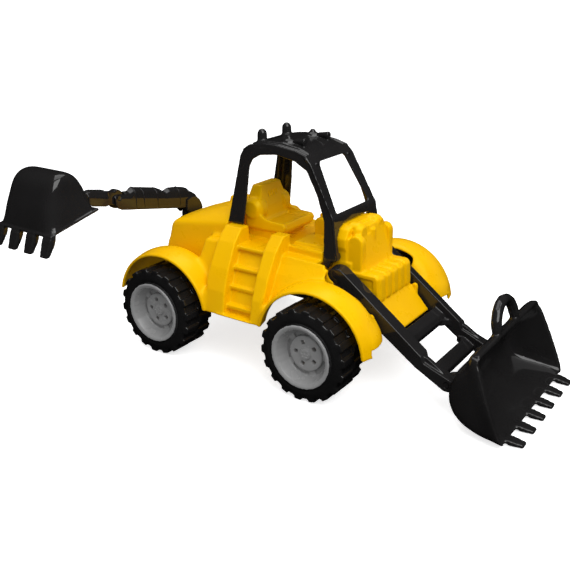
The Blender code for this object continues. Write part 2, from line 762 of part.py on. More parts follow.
def side_pocket():
    """The shallow recess in each side of the lower block."""
    low = (121 * MM, ENGINE_HALF_WIDTH - 2 * MM, 112 * MM)
    return mirrored(block("side_pocket", low, (147 * MM, ENGINE_HALF_WIDTH + OVERRUN, 124 * MM)))


def engine_column():
    """A round-topped pillar at each side of the engine block."""
    outline = [mm(112.3, 126), *arc(mm(121.5, 162), 9.2 * MM, 180, 0, 6), mm(130.7, 126)]
    return mirrored(plate("engine_column", outline, 28 * MM, ENGINE_HALF_WIDTH - 2.5 * MM))


def grille_rib(y):
    """A rib that runs over the shelf and down the front."""
    front, top = ENGINE_FRONT_X + GRILLE_RIB, ENGINE_SHELF_Z + 1.5 * MM
    outline = [(130 * MM, ENGINE_SHELF_Z - OVERRUN), (130 * MM, top), (ENGINE_FRONT_X - 2 * MM, top),
               (front, top - 5 * MM), (front + 2 * MM, ENGINE_FOOT_Z + 2 * MM),
               (ENGINE_FRONT_X - OVERRUN, ENGINE_FOOT_Z)]
    return plate("grille_rib", outline, y - 5.5 * MM, y + 5.5 * MM)


def rail_slot():
    """The open channel beside the engine, in which the loader's rail moves."""
    low = (TUB_BULKHEAD_X + WALL, ENGINE_HALF_WIDTH, SILL_Z - 5 * OVERRUN)
    return mirrored(block("rail_slot", low, (APRON_FRONT_X + 40 * MM, SLOT_OUTER_Y, 200 * MM)))


def panel_notch():
    """The stepped front edge of the side panel."""
    outline = [mm(96, 160), mm(98, 136), mm(104, 134), mm(104, 126), mm(112, 124), mm(112, 115), mm(122, 100),
               mm(140, 100), mm(140, 160)]
    return mirrored(plate("panel_notch", outline, 58 * MM, 76 * MM))


def rail_fins():
    """Round-topped fins that guide each rail, one outside it and one inside."""
    outer = [mm(157, 76), *arc(mm(161, 93), 4 * MM, 180, 0, 4), mm(165, 76)]
    inner = [(x, z + 2 * MM) for x, z in outer]
    inside = RAIL_INNER_Y - SIDE_PLAY
    return [mirrored(plate("outer_fin", outer, SLOT_OUTER_Y, SLOT_OUTER_Y + 3.4 * MM)),
            mirrored(plate("inner_fin", inner, inside - 5 * MM, inside))]


def seat():
    """A bucket seat: a dished cushion, a back that narrows upwards, and round wings with low arms."""
    def level(z, back, front, half):
        return [(back * MM, -half * MM, z * MM), (front * MM, -half * MM, z * MM),
                (front * MM, half * MM, z * MM),
                (back * MM, half * MM, z * MM)]

    pedestal = block("seat_pedestal", (-34 * MM, -31 * MM, FLOOR_Z - OVERRUN), mm(9, 31, 156))
    cushion = loft("cushion", [level(151, -34, 17, 30), level(157, -34, 21.5, 33), level(165, -34, 19.5, 32)])
    back = loft("seat_back", [level(141, -41, -12, 26.5), level(180, -41, -16, 26.5),
                              level(193, -38, -19, 24.5),
                              level(205.5, -35, -22, 20.5)])
    side = [mm(-36, 154), mm(-36, 174), mm(-16, 173), mm(-8, 168.5), mm(2, 166.8), mm(19, 166), mm(22.5, 161),
            mm(19, 155)]
    arms = mirrored(plate("seat_arm", side, 28.5 * MM, 33.7 * MM))
    wings = [mirrored(rod("seat_wing", mm(-27, 24.5, 177), 14.6 * MM, 13 * MM, "Y", 24)),
             mirrored(rod("seat_wing_edge", mm(-27, 33, 177), 10 * MM, 5 * MM, "Y", 20, 14.2 * MM))]
    return [pedestal, cushion, back, arms, *wings]


def seat_dish():
    """The hollow of the cushion."""
    sections = []
    for (back, front), half, z in ((mm(-12, 12), 22 * MM, SEAT_Z),
                                   (mm(-14.5, 20.5), 30 * MM, SEAT_Z + 5 * MM)):
        sections.append([(back, -half, z), (front, -half, z), (front, half, z), (back, half, z)])
    return loft("seat_dish", sections)


def dash():
    """The console in front of the seat, and the stepped floor at both its sides."""
    outline = [(52 * MM, FLOOR_Z - 2 * OVERRUN), mm(50, 170), mm(53, 175), mm(60, 176), mm(70, 172),
               mm(97, 167),
               (97 * MM, FLOOR_Z - 6 * OVERRUN)]
    console = plate("dash", outline, -12 * MM, 12 * MM)
    lower = block("lower_floor", (41 * MM, -52 * MM, FLOOR_Z - 3 * OVERRUN), mm(87, 52, 149.5))
    upper = block("upper_floor", (43 * MM, -45 * MM, FLOOR_Z - 2 * OVERRUN), mm(86.5, 40, 153.5))
    return [console, lower, upper]


def stack():
    """The box that stands on the hood behind the cab."""
    return block("stack", mm(-80, -11, 160), mm(-55, 11, 183))


def below_sill():
    """What lies under the body's lower edge, which rises at the front plate and dips at the outer corner."""
    outside = SILL_Y + 9 * OVERRUN
    back, front, deep = -AXLE_X - 90 * MM, AXLE_X + 90 * MM, -30 * MM
    inner = SLOT_OUTER_Y - 1.5 * MM
    corner = [(FRONT_EDGE_X - OVERRUN, deep), (FRONT_EDGE_X - OVERRUN, SILL_Z), mm(171, 68.2),
              mm(173.5, 64.5),
              mm(177, 62.5), (182 * MM, FRONT_CORNER_Z), (front, FRONT_CORNER_Z), (front, deep)]
    return [
        block("below_body", (back, -outside, deep), (FRONT_EDGE_X, outside, SILL_Z)),
        block("below_apron", (FRONT_EDGE_X - OVERRUN, -inner, deep), (front, inner, SILL_Z)),
        mirrored(block("below_plate", (FRONT_EDGE_X - OVERRUN / 2, inner - OVERRUN / 2, deep),
                       (front + OVERRUN, FRONT_CORNER_Y, FRONT_EDGE_Z))),
        mirrored(plate("below_corner", corner, FRONT_CORNER_Y - 1 * MM, outside)),
    ]


def body_boss(x, top):
    """A post inside the shell that stands on the chassis."""
    low = SPINE_TOP_Z + GAP
    return mirrored(rod("body_boss", (x, BOSS_Y, (low + top) / 2), BOSS_RADIUS, top - low, "Z", 12))


def make_body():
    body = piece("body_shell", tub(), "yellow")
    add(body, hood(), fender(AXLE_X), fender(-AXLE_X), front_plate(), tank())
    add(body, *(rib(*row) for row in RIBS), *(step(*row) for row in STEPS), engine_shelf())
    cut(body, rail_slot(), panel_notch())
    add(body, engine_block("engine_block", 0), engine_shoulder(), engine_column(), *engine_lamps())
    add(body, rod("engine_boss", (120.5 * MM, 0, 154 * MM), 6 * MM, 36 * MM, "Z", 12))
    add(body, *rail_fins(), *seat(), *dash(), stack())
    for y in mm(-32, -16, 0, 16, 32):
        add(body, grille_rib(y))
    cut(body, side_pocket(), seat_dish(), *below_sill())
    cut(body, wheel_well(AXLE_X), wheel_well(-AXLE_X), hood_hollow(), tub_hollow(), panel_hollow())
    cut(body, engine_hollow(), engine_block("engine_block_hollow", WALL))
    x, z = LOADER_PIVOT
    cut(body, rod("loader_pin_bore", (x, 0, z), LOADER_PIN_RADIUS + GAP, 2 * (ENGINE_HALF_WIDTH + OVERRUN)))
    add(body, body_boss(-60 * MM, 175 * MM), body_boss(70 * MM, FLOOR_Z - 4 * MM))


# ---- cab ----------------------------------------------------------------------

# The cab from the side, (x, z), from its rear foot over the roof to its front foot.
CAB_SIDE = [mm(-27.5, 162.1), mm(-50.5, 162.4), mm(-33.5, 247), mm(-29, 254), mm(-19, 260), mm(-2, 262.5),
            mm(18, 262.5), mm(44, 259), mm(60, 254.5), mm(66, 248), mm(99, 189), mm(106.5, 142.5),
            mm(97.5, 138.5), mm(95, 131), mm(88, 134)]
# The room inside, which leaves the walls of the roof and of both pairs of pillars.
CAB_ROOM = [mm(-43.5, 150), mm(-29.8, 246), mm(-26, 251), mm(-18, 256.5), mm(-2, 259), mm(18, 259),
            mm(43, 255.7), mm(58, 251.5), mm(63, 246.5), mm(95.5, 188), mm(103, 142), mm(103, 100),
            mm(-43.5, 100)]
# The side window, down past the sill, between the pillars.
SIDE_WINDOW = [mm(-28.5, 150), mm(-23, 195), mm(-20, 233), mm(-15.5, 243), mm(-5, 249), mm(17, 252),
               mm(44, 247.5), mm(60, 239), mm(75, 214), mm(86, 185), mm(88.5, 125), mm(-28.5, 125)]
# Openings seen from the front, right half, (y, z) from the bottom up.
WINDSCREEN = [mm(35, 192.5), mm(36.7, 194), mm(28.5, 244), mm(25, 247.3)]
DASH_ARCH = [mm(46, 110), mm(44.5, 167), mm(36, 177.5), mm(26, 180.8)]
REAR_WINDOW = [mm(38, 150), mm(33, 240), mm(29, 245)]


def cab_half_width(z):
    return mix(CAB_FOOT_HALF_WIDTH, CAB_ROOF_HALF_WIDTH, (z - CAB_FOOT_Z) / (CAB_ROOF_Z - CAB_FOOT_Z))


def tapered(name, outline, inset):
    return loft(name, [[(x, side * (cab_half_width(z) - inset), z) for x, z in outline] for side in (-1, 1)])


def front_opening(name, half, low, high):
    outline = half + [(-y, z) for y, z in reversed(half)]
    return plate(name, outline, low, high, "X")


def cab_front_foot():
    """The block that carries each front pillar, beside the engine."""
    outline = [mm(88.5, 141), mm(88.5, 134.5), mm(94.8, 131.5), mm(97.2, 138.5), mm(106, 142.7),
               mm(105.5, 150),
               mm(100, 150)]
    return mirrored(plate("cab_front_foot", outline, ENGINE_HALF_WIDTH + GAP, CAB_FOOT_HALF_WIDTH - 1 * MM))


def roof_panel():
    outline = [mm(-27, 252), mm(-22, 261), mm(-2, 265), mm(20, 265), mm(44, 261.5), mm(57, 256.5),
               mm(58, 252)]
    return plate("roof_panel", outline, -36 * MM, 36 * MM)


def dome(name, x, foot, radius, height, crown):
    """A short round post with a domed top."""
    profile = [(0, height + crown)]
    profile += [(radius * math.cos(a), height + crown * math.sin(a)) for a in (1.2, 0.8, 0.4, 0)]
    profile += [(radius, 0), (0, 0)]
    return mirrored(turned(name, profile, (x, ROOF_GEAR_Y, foot), "up", 12))


def make_cab():
    cab = piece("cab_frame", tapered("cab_form", CAB_SIDE, 0), "black")
    add(cab, roof_panel())
    cut(cab, tapered("cab_room", CAB_ROOM, CAB_WALL))
    cut(cab, plate("side_windows", SIDE_WINDOW, -CAB_FOOT_HALF_WIDTH - OVERRUN,
                   CAB_FOOT_HALF_WIDTH + OVERRUN))
    cut(cab, front_opening("windscreen", WINDSCREEN, 50 * MM, 130 * MM))
    cut(cab, front_opening("dash_arch", DASH_ARCH, 80 * MM, 131 * MM))
    cut(cab, front_opening("rear_window", REAR_WINDOW, -70 * MM, -20 * MM))
    add(cab, cab_front_foot())
    add(cab, dome("beacon", BEACON_X, 260 * MM, BEACON_RADIUS, 10 * MM, 6.5 * MM))
    add(cab, dome("roof_lamp", ROOF_LAMP_X, 262 * MM, ROOF_LAMP_RADIUS, 4 * MM, 3 * MM))
    add(cab, dome("roof_lamp_tip", ROOF_LAMP_X, 266 * MM, ROOF_LAMP_RADIUS / 2, 3 * MM, 3.6 * MM))
    horn = rod("roof_horn", (38 * MM, ROOF_GEAR_Y, 266.6 * MM), 2.4 * MM, 16 * MM, "X", 14, 5 * MM)
    add(cab, mirrored(horn))


# ---- loader -------------------------------------------------------------------

# The loader bucket's back from the side, (x, z), from the top of its mouth round to its cutting edge.
BUCKET_BACK = [mm(293, 90), mm(281, 74), mm(271, 62), mm(264, 50), mm(261.5, 38), mm(263.5, 26), mm(271, 15),
               mm(284, 8), mm(302, 5.5), mm(331, 2)]
BUCKET_BACK_X = 262 * MM
BUCKET_CURVE_DEPTH = 40 * MM


def rail_outline(fall):
    """A rail from the side: a round heel, a straight top that lies lower by fall, a step and a round tip."""
    heel = arc(LOADER_PIVOT, RAIL_HEEL_RADIUS - fall / 2, 245, 62, 10)
    tip = arc(TILT_PIVOT, RAIL_TIP_RADIUS, 50, -110, 7)
    end = [(220 * MM, 60.6 * MM - fall), (223 * MM, 52 * MM - fall / 2)]
    return heel + end + tip + [mm(213, 43), mm(180, 66), mm(150, 86)]


def rail():
    """Each rail's top falls a little towards its outer side."""
    sections = []
    for y, fall in ((RAIL_INNER_Y, 0), (RAIL_OUTER_Y, RAIL_TOP_FALL)):
        sections.append([(x, y, z) for x, z in rail_outline(fall)])
    return mirrored(loft("rail", sections))


def rail_ridge():
    """The narrow ridge along the top of a rail's thinner end."""
    outline = [mm(216, 50), mm(218, 58), mm(226, 55), mm(246, 43), mm(248, 36), mm(230, 40)]
    middle = (RAIL_INNER_Y + RAIL_OUTER_Y) / 2
    return mirrored(plate("rail_ridge", outline, middle - 3 * MM, middle + 3 * MM))


def gusset(x, out, low, high):
    """The web in a corner between a bar and a rail; out is its direction along x from the bar."""
    outline = [(x - 2 * out * MM, RAIL_INNER_Y + OVERRUN), (x + 9 * out * MM, RAIL_INNER_Y + OVERRUN),
               (x + 9 * out * MM, RAIL_INNER_Y - 0.5 * MM), (x + 4 * out * MM, RAIL_INNER_Y - 3 * MM),
               (x + out * MM, RAIL_INNER_Y - 8 * MM), (x - 2 * out * MM, RAIL_INNER_Y - 9 * MM)]
    return mirrored(plate("gusset", outline, low, high, "Z"))


def make_loader_arm(joint):
    arm = piece("loader_arm", rail(), "black", joint)
    upper = [mm(184.5, 68), mm(188, 73), mm(198, 67), mm(201.5, 61), mm(199.5, 54), mm(187, 61.5)]
    lower = [mm(225, 40), mm(228, 43), mm(240.5, 35), mm(240.5, 29), mm(238, 26.5), mm(226, 34)]
    reach = RAIL_INNER_Y + OVERRUN
    add(arm, plate("upper_bar", upper, -reach, reach), plate("lower_bar", lower, -reach, reach))
    add(arm, rail_ridge(), gusset(200 * MM, 1, 53 * MM, 61 * MM), gusset(227 * MM, -1, 35 * MM, 43 * MM))
    for (x, z), radius in ((LOADER_PIVOT, LOADER_PIN_RADIUS), (TILT_PIVOT, TILT_PIN_RADIUS)):
        cut(arm, rod("rail_bore", (x, 0, z), radius + PIN_PLAY, 2 * (RAIL_OUTER_Y + OVERRUN)))


def bucket_half_width(x, z):
    """The scoop widens from its back to its mouth, and from its top to its cutting edge."""
    top = BUCKET_BACK[0][1]
    mouth = BUCKET_HALF_WIDTH - BUCKET_TOP_NARROWING * min(z, top) / top
    depth = min(max((x - BUCKET_BACK_X) / BUCKET_CURVE_DEPTH, 0), 1)
    return mouth - BUCKET_BACK_NARROWING * (1 - depth)


def bucket_form():
    sections = [[(x, side * bucket_half_width(x, z), z) for x, z in BUCKET_BACK] for side in (-1, 1)]
    return loft("bucket_form", sections)


def bucket_hollow():
    """The inside of the scoop, which runs out through the mouth."""
    inner = [mm(332, 130)] + inset_path(BUCKET_BACK, BUCKET_WALL) + [mm(380, 5)]
    sections = []
    for side in (-1, 1):
        sections.append([(x, side * (bucket_half_width(x, z) - BUCKET_WALL), z) for x, z in inner])
    return loft("bucket_hollow", sections)


def inset_path(path, amount):
    """The path moved to its left by a fixed amount, its ends drawn out along their directions."""
    moved = []
    for i, point in enumerate(path):
        before = Vector(path[max(i - 1, 0)])
        after = Vector(path[min(i + 1, len(path) - 1)])
        along = (after - before).normalized()
        shifted = Vector(point) + amount * Vector((-along.y, along.x))
        if i == 0:
            shifted = shifted - 2 * OVERRUN * along
        if i == len(path) - 1:
            shifted = shifted + 2 * OVERRUN * along
        moved.append((shifted.x, shifted.y))
    return moved


def bucket_rim():
    """A lip at each side of the mouth, a little proud of the side plate."""
    sections = []
    for x, z in (BUCKET_BACK[0], BUCKET_BACK[-1]):
        outer = bucket_half_width(x, z) + BUCKET_RIM
        inner = outer - BUCKET_LIP
        sections.append([(x - 7 * MM, inner, z), (x + 1 * MM, inner, z), (x + 1 * MM, outer, z),
                         (x - 7 * MM, outer, z)])
    return mirrored(loft("bucket_rim", sections))


def bucket_lip():
    """The thick edge along the top of the mouth, rounded off at both ends."""
    x, z = BUCKET_BACK[0]
    half = bucket_half_width(x, z) + BUCKET_RIM
    sections = []
    for y, drop in (-half, 4 * MM), (-half + 5 * MM, 0), (half - 5 * MM, 0), (half, 4 * MM):
        outline = [(x - 11 * MM, z - 10 * MM), (x - 5 * MM, z + 1 * MM - drop),
                   (x + 1 * MM, z + 2.2 * MM - drop),
                   (x + 3.4 * MM, z - 1.4 * MM - drop), (x - 1 * MM, z - 10 * MM)]
        sections.append([(at, y, height) for at, height in outline])
    return loft("bucket_lip", sections)


def bucket_tooth(y):
    x, z = BUCKET_BACK[-1]
    sections = []
    for at, half, low, high in ((x - 3 * MM, BUCKET_TOOTH_WIDTH / 2, 1.6 * MM, 6.6 * MM),
                                (x + BUCKET_TOOTH_LENGTH, BUCKET_TOOTH_WIDTH / 2 - 2.4 * MM, 1 * MM,
                                 3.4 * MM)):
        sections.append([(at, y - half, low), (at, y + half, low), (at, y + half, high),
                         (at, y - half, high)])
    return loft("bucket_tooth", sections)


def handle():
    """A loop of round bar over the bucket's top edge, leaning back, its feet on the front of that edge."""
    x, z = BUCKET_BACK[0]
    x -= 3 * MM
    bend = (0, z + HANDLE_HEIGHT - HANDLE_RADIUS - HANDLE_HALF_WIDTH)
    path = [(x + 1 * MM, HANDLE_HALF_WIDTH, z - 7 * MM)]
    path += [(x - HANDLE_LEAN * (w - z), y, w) for y, w in arc(bend, HANDLE_HALF_WIDTH, 0, 180, 8)]
    path.append((x + 1 * MM, -HANDLE_HALF_WIDTH, z - 7 * MM))
    return tube("handle", path, HANDLE_RADIUS)


def bucket_ear():
    """A lug behind the bucket that holds its pin beside a rail."""
    outline = arc(TILT_PIVOT, RAIL_TIP_RADIUS - 1 * MM, 100, 260, 6) + [mm(268, 22), mm(268, 44)]
    high = RAIL_INNER_Y - SIDE_PLAY
    return mirrored(plate("bucket_ear", outline, high - BUCKET_EAR_WIDTH, high))


def make_bucket(joint):
    bucket = piece("loader_bucket", bucket_form(), "black", joint)
    add(bucket, bucket_ear(), handle())
    cut(bucket, bucket_hollow())
    add(bucket, bucket_rim(), bucket_lip())
    for i in range(BUCKET_TOOTH_COUNT):
        add(bucket, bucket_tooth((i - (BUCKET_TOOTH_COUNT - 1) / 2) * BUCKET_TOOTH_PITCH))
    x, z = TILT_PIVOT
    cut(bucket, rod("bucket_bore", (x, 0, z), TILT_PIN_RADIUS + GAP, 2 * (RAIL_INNER_Y + OVERRUN)))


def make_loader():
    lift = new_empty("loader_lift_axis", (LOADER_PIVOT[0], 0, LOADER_PIVOT[1]), ROOT)
    tilt = new_empty("loader_tilt_axis", (TILT_PIVOT[0], 0, TILT_PIVOT[1]), lift)
    make_loader_arm(lift)
    make_bucket(tilt)
    x, z = LOADER_PIVOT
    piece("loader_pin", rod("pin", (x, 0, z), LOADER_PIN_RADIUS, 2 * RAIL_OUTER_Y), "black", smooth=True)
    x, z = TILT_PIVOT
    low, high = RAIL_INNER_Y - SIDE_PLAY - BUCKET_EAR_WIDTH, RAIL_OUTER_Y
    for name, side in (("tilt_pin_left", 1), ("tilt_pin_right", -1)):
        pin = rod("pin", (x, side * (low + high) / 2, z), TILT_PIN_RADIUS, high - low)
        piece(name, pin, "black", tilt, smooth=True)


# ---- backhoe ------------------------------------------------------------------
# Its shapes are given by their reach from the swing axis, as it points straight out to the right at rest.

# The boom's stations: reach, heights of the foot, of the side's top edge and of the crown.
BOOM = [mm(-12, 156.5, 161, 165.5), mm(-8, 154.5, 164, 172), mm(0, 154, 167, 178), mm(10, 155, 169, 182),
        mm(24, 157, 171, 185.5), mm(40, 160.5, 174, 187.5), mm(48, 162, 175.5, 184.5),
        mm(54, 163.5, 177, 188.5), mm(64, 165.5, 179, 193), mm(104, 174, 188, 202),
        mm(112, 175.5, 189.5, 198.5), mm(128, 179, 193, 201), mm(134, 182, 195, 201),
        mm(138, 187, 195, 199)]
# The same for the stick, between its two knuckles.
STICK = [mm(148, 190, 199, 207), mm(153, 189, 200, 209), mm(174, 194, 205, 213.5), mm(179.5, 197, 206, 212.5)]
# The backhoe bucket's back, (reach, z), from the rim beside the stick over the top to the toothed rim.
HOE = [mm(198.5, 202), mm(202, 214), mm(206.5, 229), *arc(mm(231, 224.5), 24.5 * MM, 150, 18, 8),
       mm(262, 212), mm(266.5, 188)]
HOE_MIDDLE = mm(232, 205)


def arm_point(reach, across, z):
    return (SWING_X + across, -reach, z)


def arm_form(name, stations):
    """A beam with a crowned top, lofted through its stations."""
    sections = []
    for reach, foot, edge, crown in stations:
        lift = crown - edge
        outline = [(-1, foot), (-1, edge), (-0.72, edge + 0.68 * lift), (0, crown),
                   (0.72, edge + 0.68 * lift),
                   (1, edge), (1, foot)]
        sections.append([arm_point(reach, share * BOOM_HALF_WIDTH, z) for share, z in outline])
    return loft(name, sections)


def arm_plate(name, outline, low, high):
    """A flat outline of (reach, z), pulled across the arm."""
    return plate(name, [(-reach, z) for reach, z in outline], SWING_X + low, SWING_X + high, "X")


def arm_rod(name, at, radius, half_length):
    return rod(name, arm_point(at[0], 0, at[1]), radius, 2 * half_length, "X")


def boom_channel():
    """The channel under the boom, open below."""
    top = [(reach, crown - BOOM_WALL - 1 * MM) for reach, _, _, crown in BOOM[1:-1]]
    outline = [(BOOM[0][0] - OVERRUN, 140 * MM), (BOOM[0][0] - OVERRUN, top[0][1]), *top,
               (BOOM[-1][0] + OVERRUN, top[-1][1]), (BOOM[-1][0] + OVERRUN, 140 * MM)]
    return arm_plate("boom_channel", outline, -FORK_HALF_GAP, FORK_HALF_GAP)


def fork_slot(low, high):
    """The opening through the boom's crown over a knuckle."""
    half = FORK_HALF_GAP - GAP
    return block("fork_slot", (SWING_X - half, -high, 140 * MM), (SWING_X + half, -low, 230 * MM))


def make_swing_post(joint):
    low = PEDESTAL_TOP_Z + GAP
    disc = rod("turntable", (SWING_X, 0, low + TURNTABLE_HEIGHT / 2), TURNTABLE_RADIUS, TURNTABLE_HEIGHT,
               "Z", 24)
    post = piece("swing_post", disc, "black", joint)
    u, z = BOOM_FOOT
    outline = arc((u, z), KNUCKLE_RADIUS, 0, 180, 8) + [(u - KNUCKLE_RADIUS, low + OVERRUN),
                                                      (u + KNUCKLE_RADIUS, low + OVERRUN)]
    add(post, arm_plate("post_tongue", outline, -TONGUE_HALF_WIDTH, TONGUE_HALF_WIDTH))
    foot, top = PEDESTAL_TOP_Z - SWING_PIN_LENGTH, low + OVERRUN
    add(post, rod("swing_pin", (SWING_X, 0, (foot + top) / 2), SWING_PIN_RADIUS, top - foot, "Z"))
    cut(post, arm_rod("post_bore", BOOM_FOOT, ARM_PIN_RADIUS + PIN_PLAY, 2 * BOOM_HALF_WIDTH))


def make_boom(joint):
    boom = piece("backhoe_boom", arm_form("boom_form", BOOM), "black", joint)
    cut(boom, boom_channel(), fork_slot(-20 * MM, 3 * MM), fork_slot(119 * MM, 150 * MM))
    for name, at in (("boom_foot_pin", BOOM_FOOT), ("elbow_pin", ELBOW)):
        cut(boom, arm_rod("boom_bore", at, ARM_PIN_RADIUS + GAP, 2 * BOOM_HALF_WIDTH))
        piece(name, arm_rod(name, at, ARM_PIN_RADIUS, BOOM_HALF_WIDTH), "black", joint, smooth=True)


def make_stick(joint):
    stick = piece("backhoe_stick", arm_form("stick_form", STICK), "black", joint)
    outline = arc(ELBOW, 1.5 * KNUCKLE_RADIUS, 60, 300, 10) + [mm(152, 191), mm(176, 197)]
    outline += arc(WRIST, KNUCKLE_RADIUS, -70, 80, 6) + [mm(152, 206)]
    add(stick, arm_plate("stick_tongues", outline, -TONGUE_HALF_WIDTH, TONGUE_HALF_WIDTH))
    for at in (ELBOW, WRIST):
        cut(stick, arm_rod("stick_bore", at, ARM_PIN_RADIUS + PIN_PLAY, 2 * BOOM_HALF_WIDTH))


def hoe_spread(z):
    """How much wider the bucket is at a height than at its top."""
    low, high = HOE[-1][1], HOE_MIDDLE[1] + 20 * MM
    return 1 + HOE_FLARE * min(max((high - z) / (high - low), 0), 1)


def hoe_form(name, rows):
    """The bucket's back with rounded ends: each row is a place across it and how much smaller it is there."""
    sections = []
    for across, amount, drop in rows:
        outline = []
        for i, (reach, z) in enumerate(HOE):
            away = (Vector((reach, z)) - Vector(HOE_MIDDLE)).normalized()
            end = i in (0, len(HOE) - 1)
            wide = across * hoe_spread(z)
            outline.append(arm_point(reach - away.x * amount, wide, z - (drop if end else away.y * amount)))
        sections.append(outline)
    return loft(name, sections)


def hoe_rim():
    """A thin flange round the mouth, as a slanted frame."""
    (near, near_z), (far, far_z) = HOE[0], HOE[-1]
    half = HOE_HALF_WIDTH * hoe_spread((near_z + far_z) / 2) + HOE_RIM_WIDTH
    angle = math.atan2(far_z - near_z, far - near)
    length = math.hypot(far - near, far_z - near_z) + 2 * HOE_RIM_WIDTH
    frame = []
    for inset in (0, HOE_WALL + HOE_RIM_WIDTH):
        x, y = length / 2 - inset, half - inset
        height = HOE_RIM_DEPTH if inset == 0 else 4 * HOE_RIM_DEPTH
        bm = bmesh.new()
        bmesh.ops.create_cube(bm, size=1, matrix=Matrix.Diagonal((2 * y, 2 * x, height, 1)))
        shape = shape_from("hoe_rim" if inset == 0 else "hoe_mouth", bm)
        shape.location = arm_point((near + far) / 2, 0, (near_z + far_z) / 2)
        shape.rotation_euler = (-angle, 0, 0)
        frame.append(shape)
    return frame


def hoe_tooth(across):
    sections = []
    end = HOE[-1][1] - HOE_TOOTH_LENGTH
    for low, high, z, narrowing in ((260.5, 268, HOE[-1][1] + 1 * MM, 0), (265, 272, 178 * MM, 0.3),
                                    (272, 276.5, end, 1.6)):
        half = HOE_TOOTH_WIDTH / 2 - narrowing * MM
        corners = ((low, -half), (high, -half), (high, half), (low, half))
        sections.append([arm_point(reach * MM, across + side, z) for reach, side in corners])
    return loft("hoe_tooth", sections)


def hoe_ear():
    outline = arc(WRIST, KNUCKLE_RADIUS, 100, 260, 8) + [mm(203, 202), mm(206, 216)]
    low, high = FORK_HALF_GAP, FORK_HALF_GAP + HOE_EAR_WIDTH
    return [arm_plate("hoe_ear", outline, low, high), arm_plate("hoe_ear", outline, -high, -low)]


def make_hoe(joint):
    half = HOE_HALF_WIDTH
    rows = [(-half, 7 * MM, 0), (-0.93 * half, 2.6 * MM, 0), (-0.8 * half, 0, 0), (0.8 * half, 0, 0),
            (0.93 * half, 2.6 * MM, 0), (half, 7 * MM, 0)]
    hoe = piece("backhoe_bucket", hoe_form("hoe_outside", rows), "black", joint)
    rim, mouth = hoe_rim()
    add(hoe, rim, *hoe_ear())
    for i in range(HOE_TOOTH_COUNT):
        span = 2 * (half * hoe_spread(HOE[-1][1]) + HOE_TOOTH_OVERHANG - HOE_TOOTH_WIDTH / 2)
        add(hoe, hoe_tooth(span * (i / (HOE_TOOTH_COUNT - 1) - 0.5)))
    inside = half - HOE_WALL
    rows = [(-inside, 7 * MM, 9 * MM), (-inside + 4 * MM, HOE_WALL, 9 * MM),
            (inside - 4 * MM, HOE_WALL, 9 * MM),
            (inside, 7 * MM, 9 * MM)]
    cut(hoe, hoe_form("hoe_inside", rows))
    cut(hoe, arm_rod("hoe_bore", WRIST, ARM_PIN_RADIUS + GAP, 2 * BOOM_HALF_WIDTH))
    pin = arm_rod("pin", WRIST, ARM_PIN_RADIUS, FORK_HALF_GAP + HOE_EAR_WIDTH)
    piece("wrist_pin", pin, "black", joint, smooth=True)


def make_backhoe():
    swing = new_empty("swing_axis", (SWING_X, 0, PEDESTAL_TOP_Z), ROOT)
    boom = new_empty("boom_axis", arm_point(BOOM_FOOT[0], 0, BOOM_FOOT[1]), swing)
    stick = new_empty("stick_axis", arm_point(ELBOW[0], 0, ELBOW[1]), boom)
    hoe = new_empty("backhoe_bucket_axis", arm_point(WRIST[0], 0, WRIST[1]), stick)
    make_swing_post(swing)
    make_boom(boom)
    make_stick(stick)
    make_hoe(hoe)


make_chassis()
make_body()
make_cab()
make_wheels()
make_loader()
make_backhoe()
ROOT.location.z = -UNDERSIDE_HEIGHT
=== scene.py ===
"""Looks of the toy backhoe loader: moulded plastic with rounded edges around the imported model."""

import json
from math import cos, pi, sin, sqrt

import bmesh
import bpy
import numpy as np
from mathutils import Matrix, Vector


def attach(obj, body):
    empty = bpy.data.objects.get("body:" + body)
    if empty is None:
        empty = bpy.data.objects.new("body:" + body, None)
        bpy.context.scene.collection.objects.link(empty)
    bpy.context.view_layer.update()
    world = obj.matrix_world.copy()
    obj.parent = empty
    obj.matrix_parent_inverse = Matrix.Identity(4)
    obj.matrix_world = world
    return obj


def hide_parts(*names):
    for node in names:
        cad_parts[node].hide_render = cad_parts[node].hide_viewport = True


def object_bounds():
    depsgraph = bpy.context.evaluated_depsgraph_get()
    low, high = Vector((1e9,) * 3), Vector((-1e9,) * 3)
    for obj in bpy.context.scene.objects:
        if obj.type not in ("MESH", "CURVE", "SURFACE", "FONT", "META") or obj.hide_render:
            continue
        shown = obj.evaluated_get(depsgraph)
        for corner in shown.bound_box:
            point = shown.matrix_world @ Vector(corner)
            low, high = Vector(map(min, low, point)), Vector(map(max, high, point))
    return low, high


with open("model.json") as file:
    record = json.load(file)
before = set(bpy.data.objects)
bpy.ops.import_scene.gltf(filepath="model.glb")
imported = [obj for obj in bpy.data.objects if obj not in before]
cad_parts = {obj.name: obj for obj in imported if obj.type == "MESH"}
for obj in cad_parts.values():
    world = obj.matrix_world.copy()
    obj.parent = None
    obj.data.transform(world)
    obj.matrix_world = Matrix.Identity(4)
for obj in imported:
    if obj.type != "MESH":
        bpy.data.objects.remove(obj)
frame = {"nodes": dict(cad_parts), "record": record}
cad_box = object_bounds()

MM = 0.001
FLOOR_Z = cad_box[0].z
# A wheel's centre, in mm: its distance in front of or behind the middle, and its height above
# the floor.
WHEEL_X, WHEEL_Z = 109.0, 55.0

# ---- materials -----------------------------------------------------------------

# The noise in a plastic: how many patches a metre holds, its detail and its roughness.
COLOUR_FLOW = (18.0, 4.0, 0.55)
GLOSS_PATCHES = (60.0, 3.0, 0.6)
GRAIN_DETAIL, GRAIN_ROUGHNESS = 2.0, 0.6
RELIEF_DEPTH = 0.05 * MM


